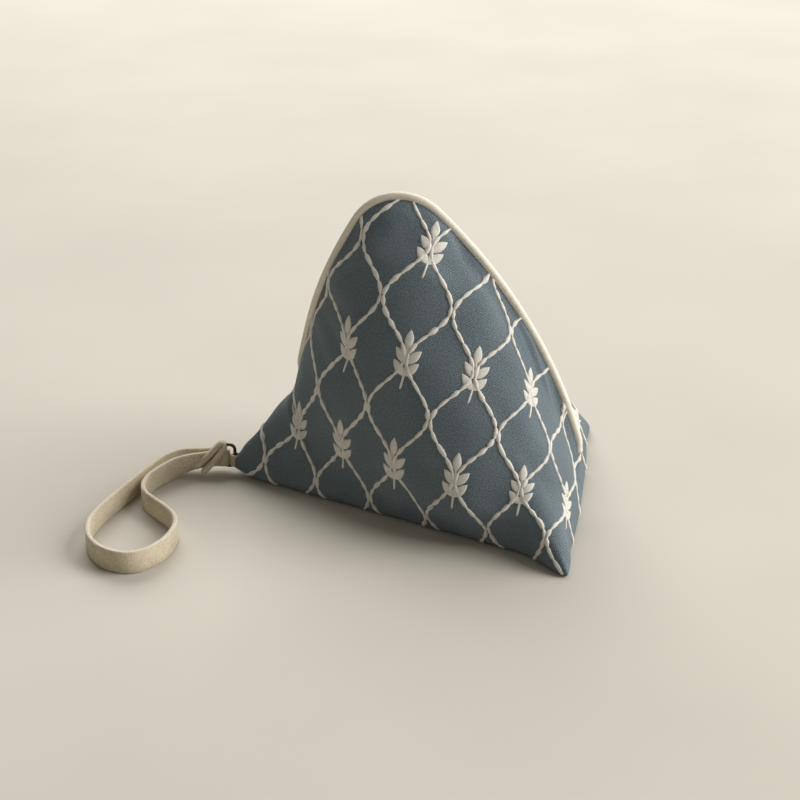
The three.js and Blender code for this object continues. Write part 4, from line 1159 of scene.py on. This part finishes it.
hitchShape = {"width": 6.0, "gap": 0.42, "turnSteps": 17, "steps": 60,
              "tails": [(-10.6, 0.45), (-8.4, 1.3), (-8.0, -2.0), (-10.4, -3.0)],
              "fold": [(-14.5, -6.6, 3.3), (-10.0, -5.8, 7.6), (-6.6, -2.4, 10.7), (-5.4, -1.5, 11.0),
                       (-4.7, -2.4, 9.9), (-7.2, -6.2, 6.5), (-11.5, -8.4, 1.9)],
              "foldWidth": 3.4, "foldThickness": 2.1, "foldLean": (-0.1, 1, 0), "foldEdge": 0.6, "foldSteps": 48}


def makeStrap(strap, hitch, ring):
    plan, length = smoothLine(strap["backLead"] + strap["route"] + strap["frontLead"], strap["steps"])
    share = np.linspace(0, 1, strap["steps"])
    fromEnd = np.minimum(share, 1 - share) * length
    middle = blendTo(ring["height"], strap["floorGap"] + strap["width"] / 2, ease(fromEnd, 0, strap["riseRun"]))
    widths = blendTo(strap["endWidth"], strap["width"], ease(fromEnd, *strap["endRun"]))
    line = np.column_stack([plan, middle])
    loop = stripAlong("strapLoop", line, widths, upright, strap["thickness"], "strap", strap["edge"])
    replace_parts(loop, "strap_loop")

    inside = ring["wire"] + hitch["gap"] + strap["thickness"] / 2
    turn = halfTurn(ringLeft(ring), inside, 1, hitch["turnSteps"])
    bightLine = levelLine(hitch["tails"][:2] + turn + hitch["tails"][2:], hitch["steps"], ring["height"])
    bight = stripAlong("strapBight", bightLine, hitch["width"], upright, strap["thickness"], "strap")
    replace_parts(bight, "strap_hitch")
    deep = unit(hitch["foldLean"])
    foldLine = smoothLine(hitch["fold"], hitch["foldSteps"])[0] + deep * hitch["foldWidth"] / 2
    stripAlong("strapFold", foldLine, hitch["foldWidth"], deep, hitch["foldThickness"], "strap", hitch["foldEdge"])
    print("strap is", round(length, 1), "mm long")


tabShape = {"width": 4.6, "thickness": 0.8, "height": 4.8, "tail": 5.0, "gap": 0.42, "edge": 0.2, "turnSteps": 13,
            "steps": 40}


def makeTab(tab, ring):
    inside = ring["wire"] + tab["gap"] + tab["thickness"] / 2
    turn = halfTurn(ring["barX"], inside, -1, tab["turnSteps"])
    line = levelLine([(tab["tail"], inside)] + turn + [(tab["tail"], -inside)], tab["steps"], tab["height"])
    piece = stripAlong("cornerTab", line, tab["width"], upright, tab["thickness"], "pouch", tab["edge"])
    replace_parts(piece, "corner_tab")


makeRing(ringShape)
makeTab(tabShape, ringShape)
makeStrap(strapShape, hitchShape, ringShape)


# floor and soft studio light, m and W
floorLook = {"color": rgb(202, 197, 186), "darkShare": 0.94, "rough": 0.9, "size": 6.0, "below": 0.0001,
             "cloud": (6.0, 3.0), "stops": (0.35, 0.65)}
lightAim = (0, 0, 0.05)
lights = [
    {"name": "windowLight", "place": (2.1, 0.35, 1.25), "size": 2.1, "power": 87.0, "color": (1.0, 0.985, 0.96)},
    {"name": "topLight", "place": (-0.6, 1.6, 1.42), "size": 1.7, "power": 44.0, "color": (1.0, 0.985, 0.96)},
    {"name": "softFill", "place": (-0.5, -0.9, 0.6), "size": 1.2, "power": 0.8, "color": (1.0, 0.98, 0.95)},
]
worldLook = {"color": rgb(240, 231, 215), "strength": 0.135}


def makeFloor(look):
    half = look["size"] / 2
    mesh = bpy.data.meshes.new("floor")
    mesh.from_pydata([(-half, -half, 0), (half, -half, 0), (half, half, 0), (-half, half, 0)], [], [(0, 1, 2, 3)])
    material, tree, shader = startMaterial("paleFloor", look["rough"])
    darker = tuple(c * look["darkShare"] for c in look["color"][:3]) + (1.0,)
    shade = noise(tree, objectPlace(tree), *look["cloud"])
    paint(tree, shader, shade, list(zip(look["stops"], (darker, look["color"]))))
    mesh.materials.append(material)
    floor = addObject("floor", mesh)
    floor.location.z = -look["below"]


def makeLight(settings):
    data = bpy.data.lights.new(settings["name"], "AREA")
    data.energy, data.size, data.color = settings["power"], settings["size"], settings["color"]
    lamp = addObject(settings["name"], data)
    lamp.location = settings["place"]
    lamp.rotation_euler = (Vector(settings["place"]) - Vector(lightAim)).to_track_quat("Z", "Y").to_euler()


makeFloor(floorLook)
for settings in lights:
    makeLight(settings)
scene.world = bpy.data.worlds.new("studio")
scene.world.use_nodes = True
background = scene.world.node_tree.nodes["Background"]
background.inputs["Color"].default_value = worldLook["color"]
background.inputs["Strength"].default_value = worldLook["strength"]
scene.view_settings.view_transform = "Standard"
print("stage ready")
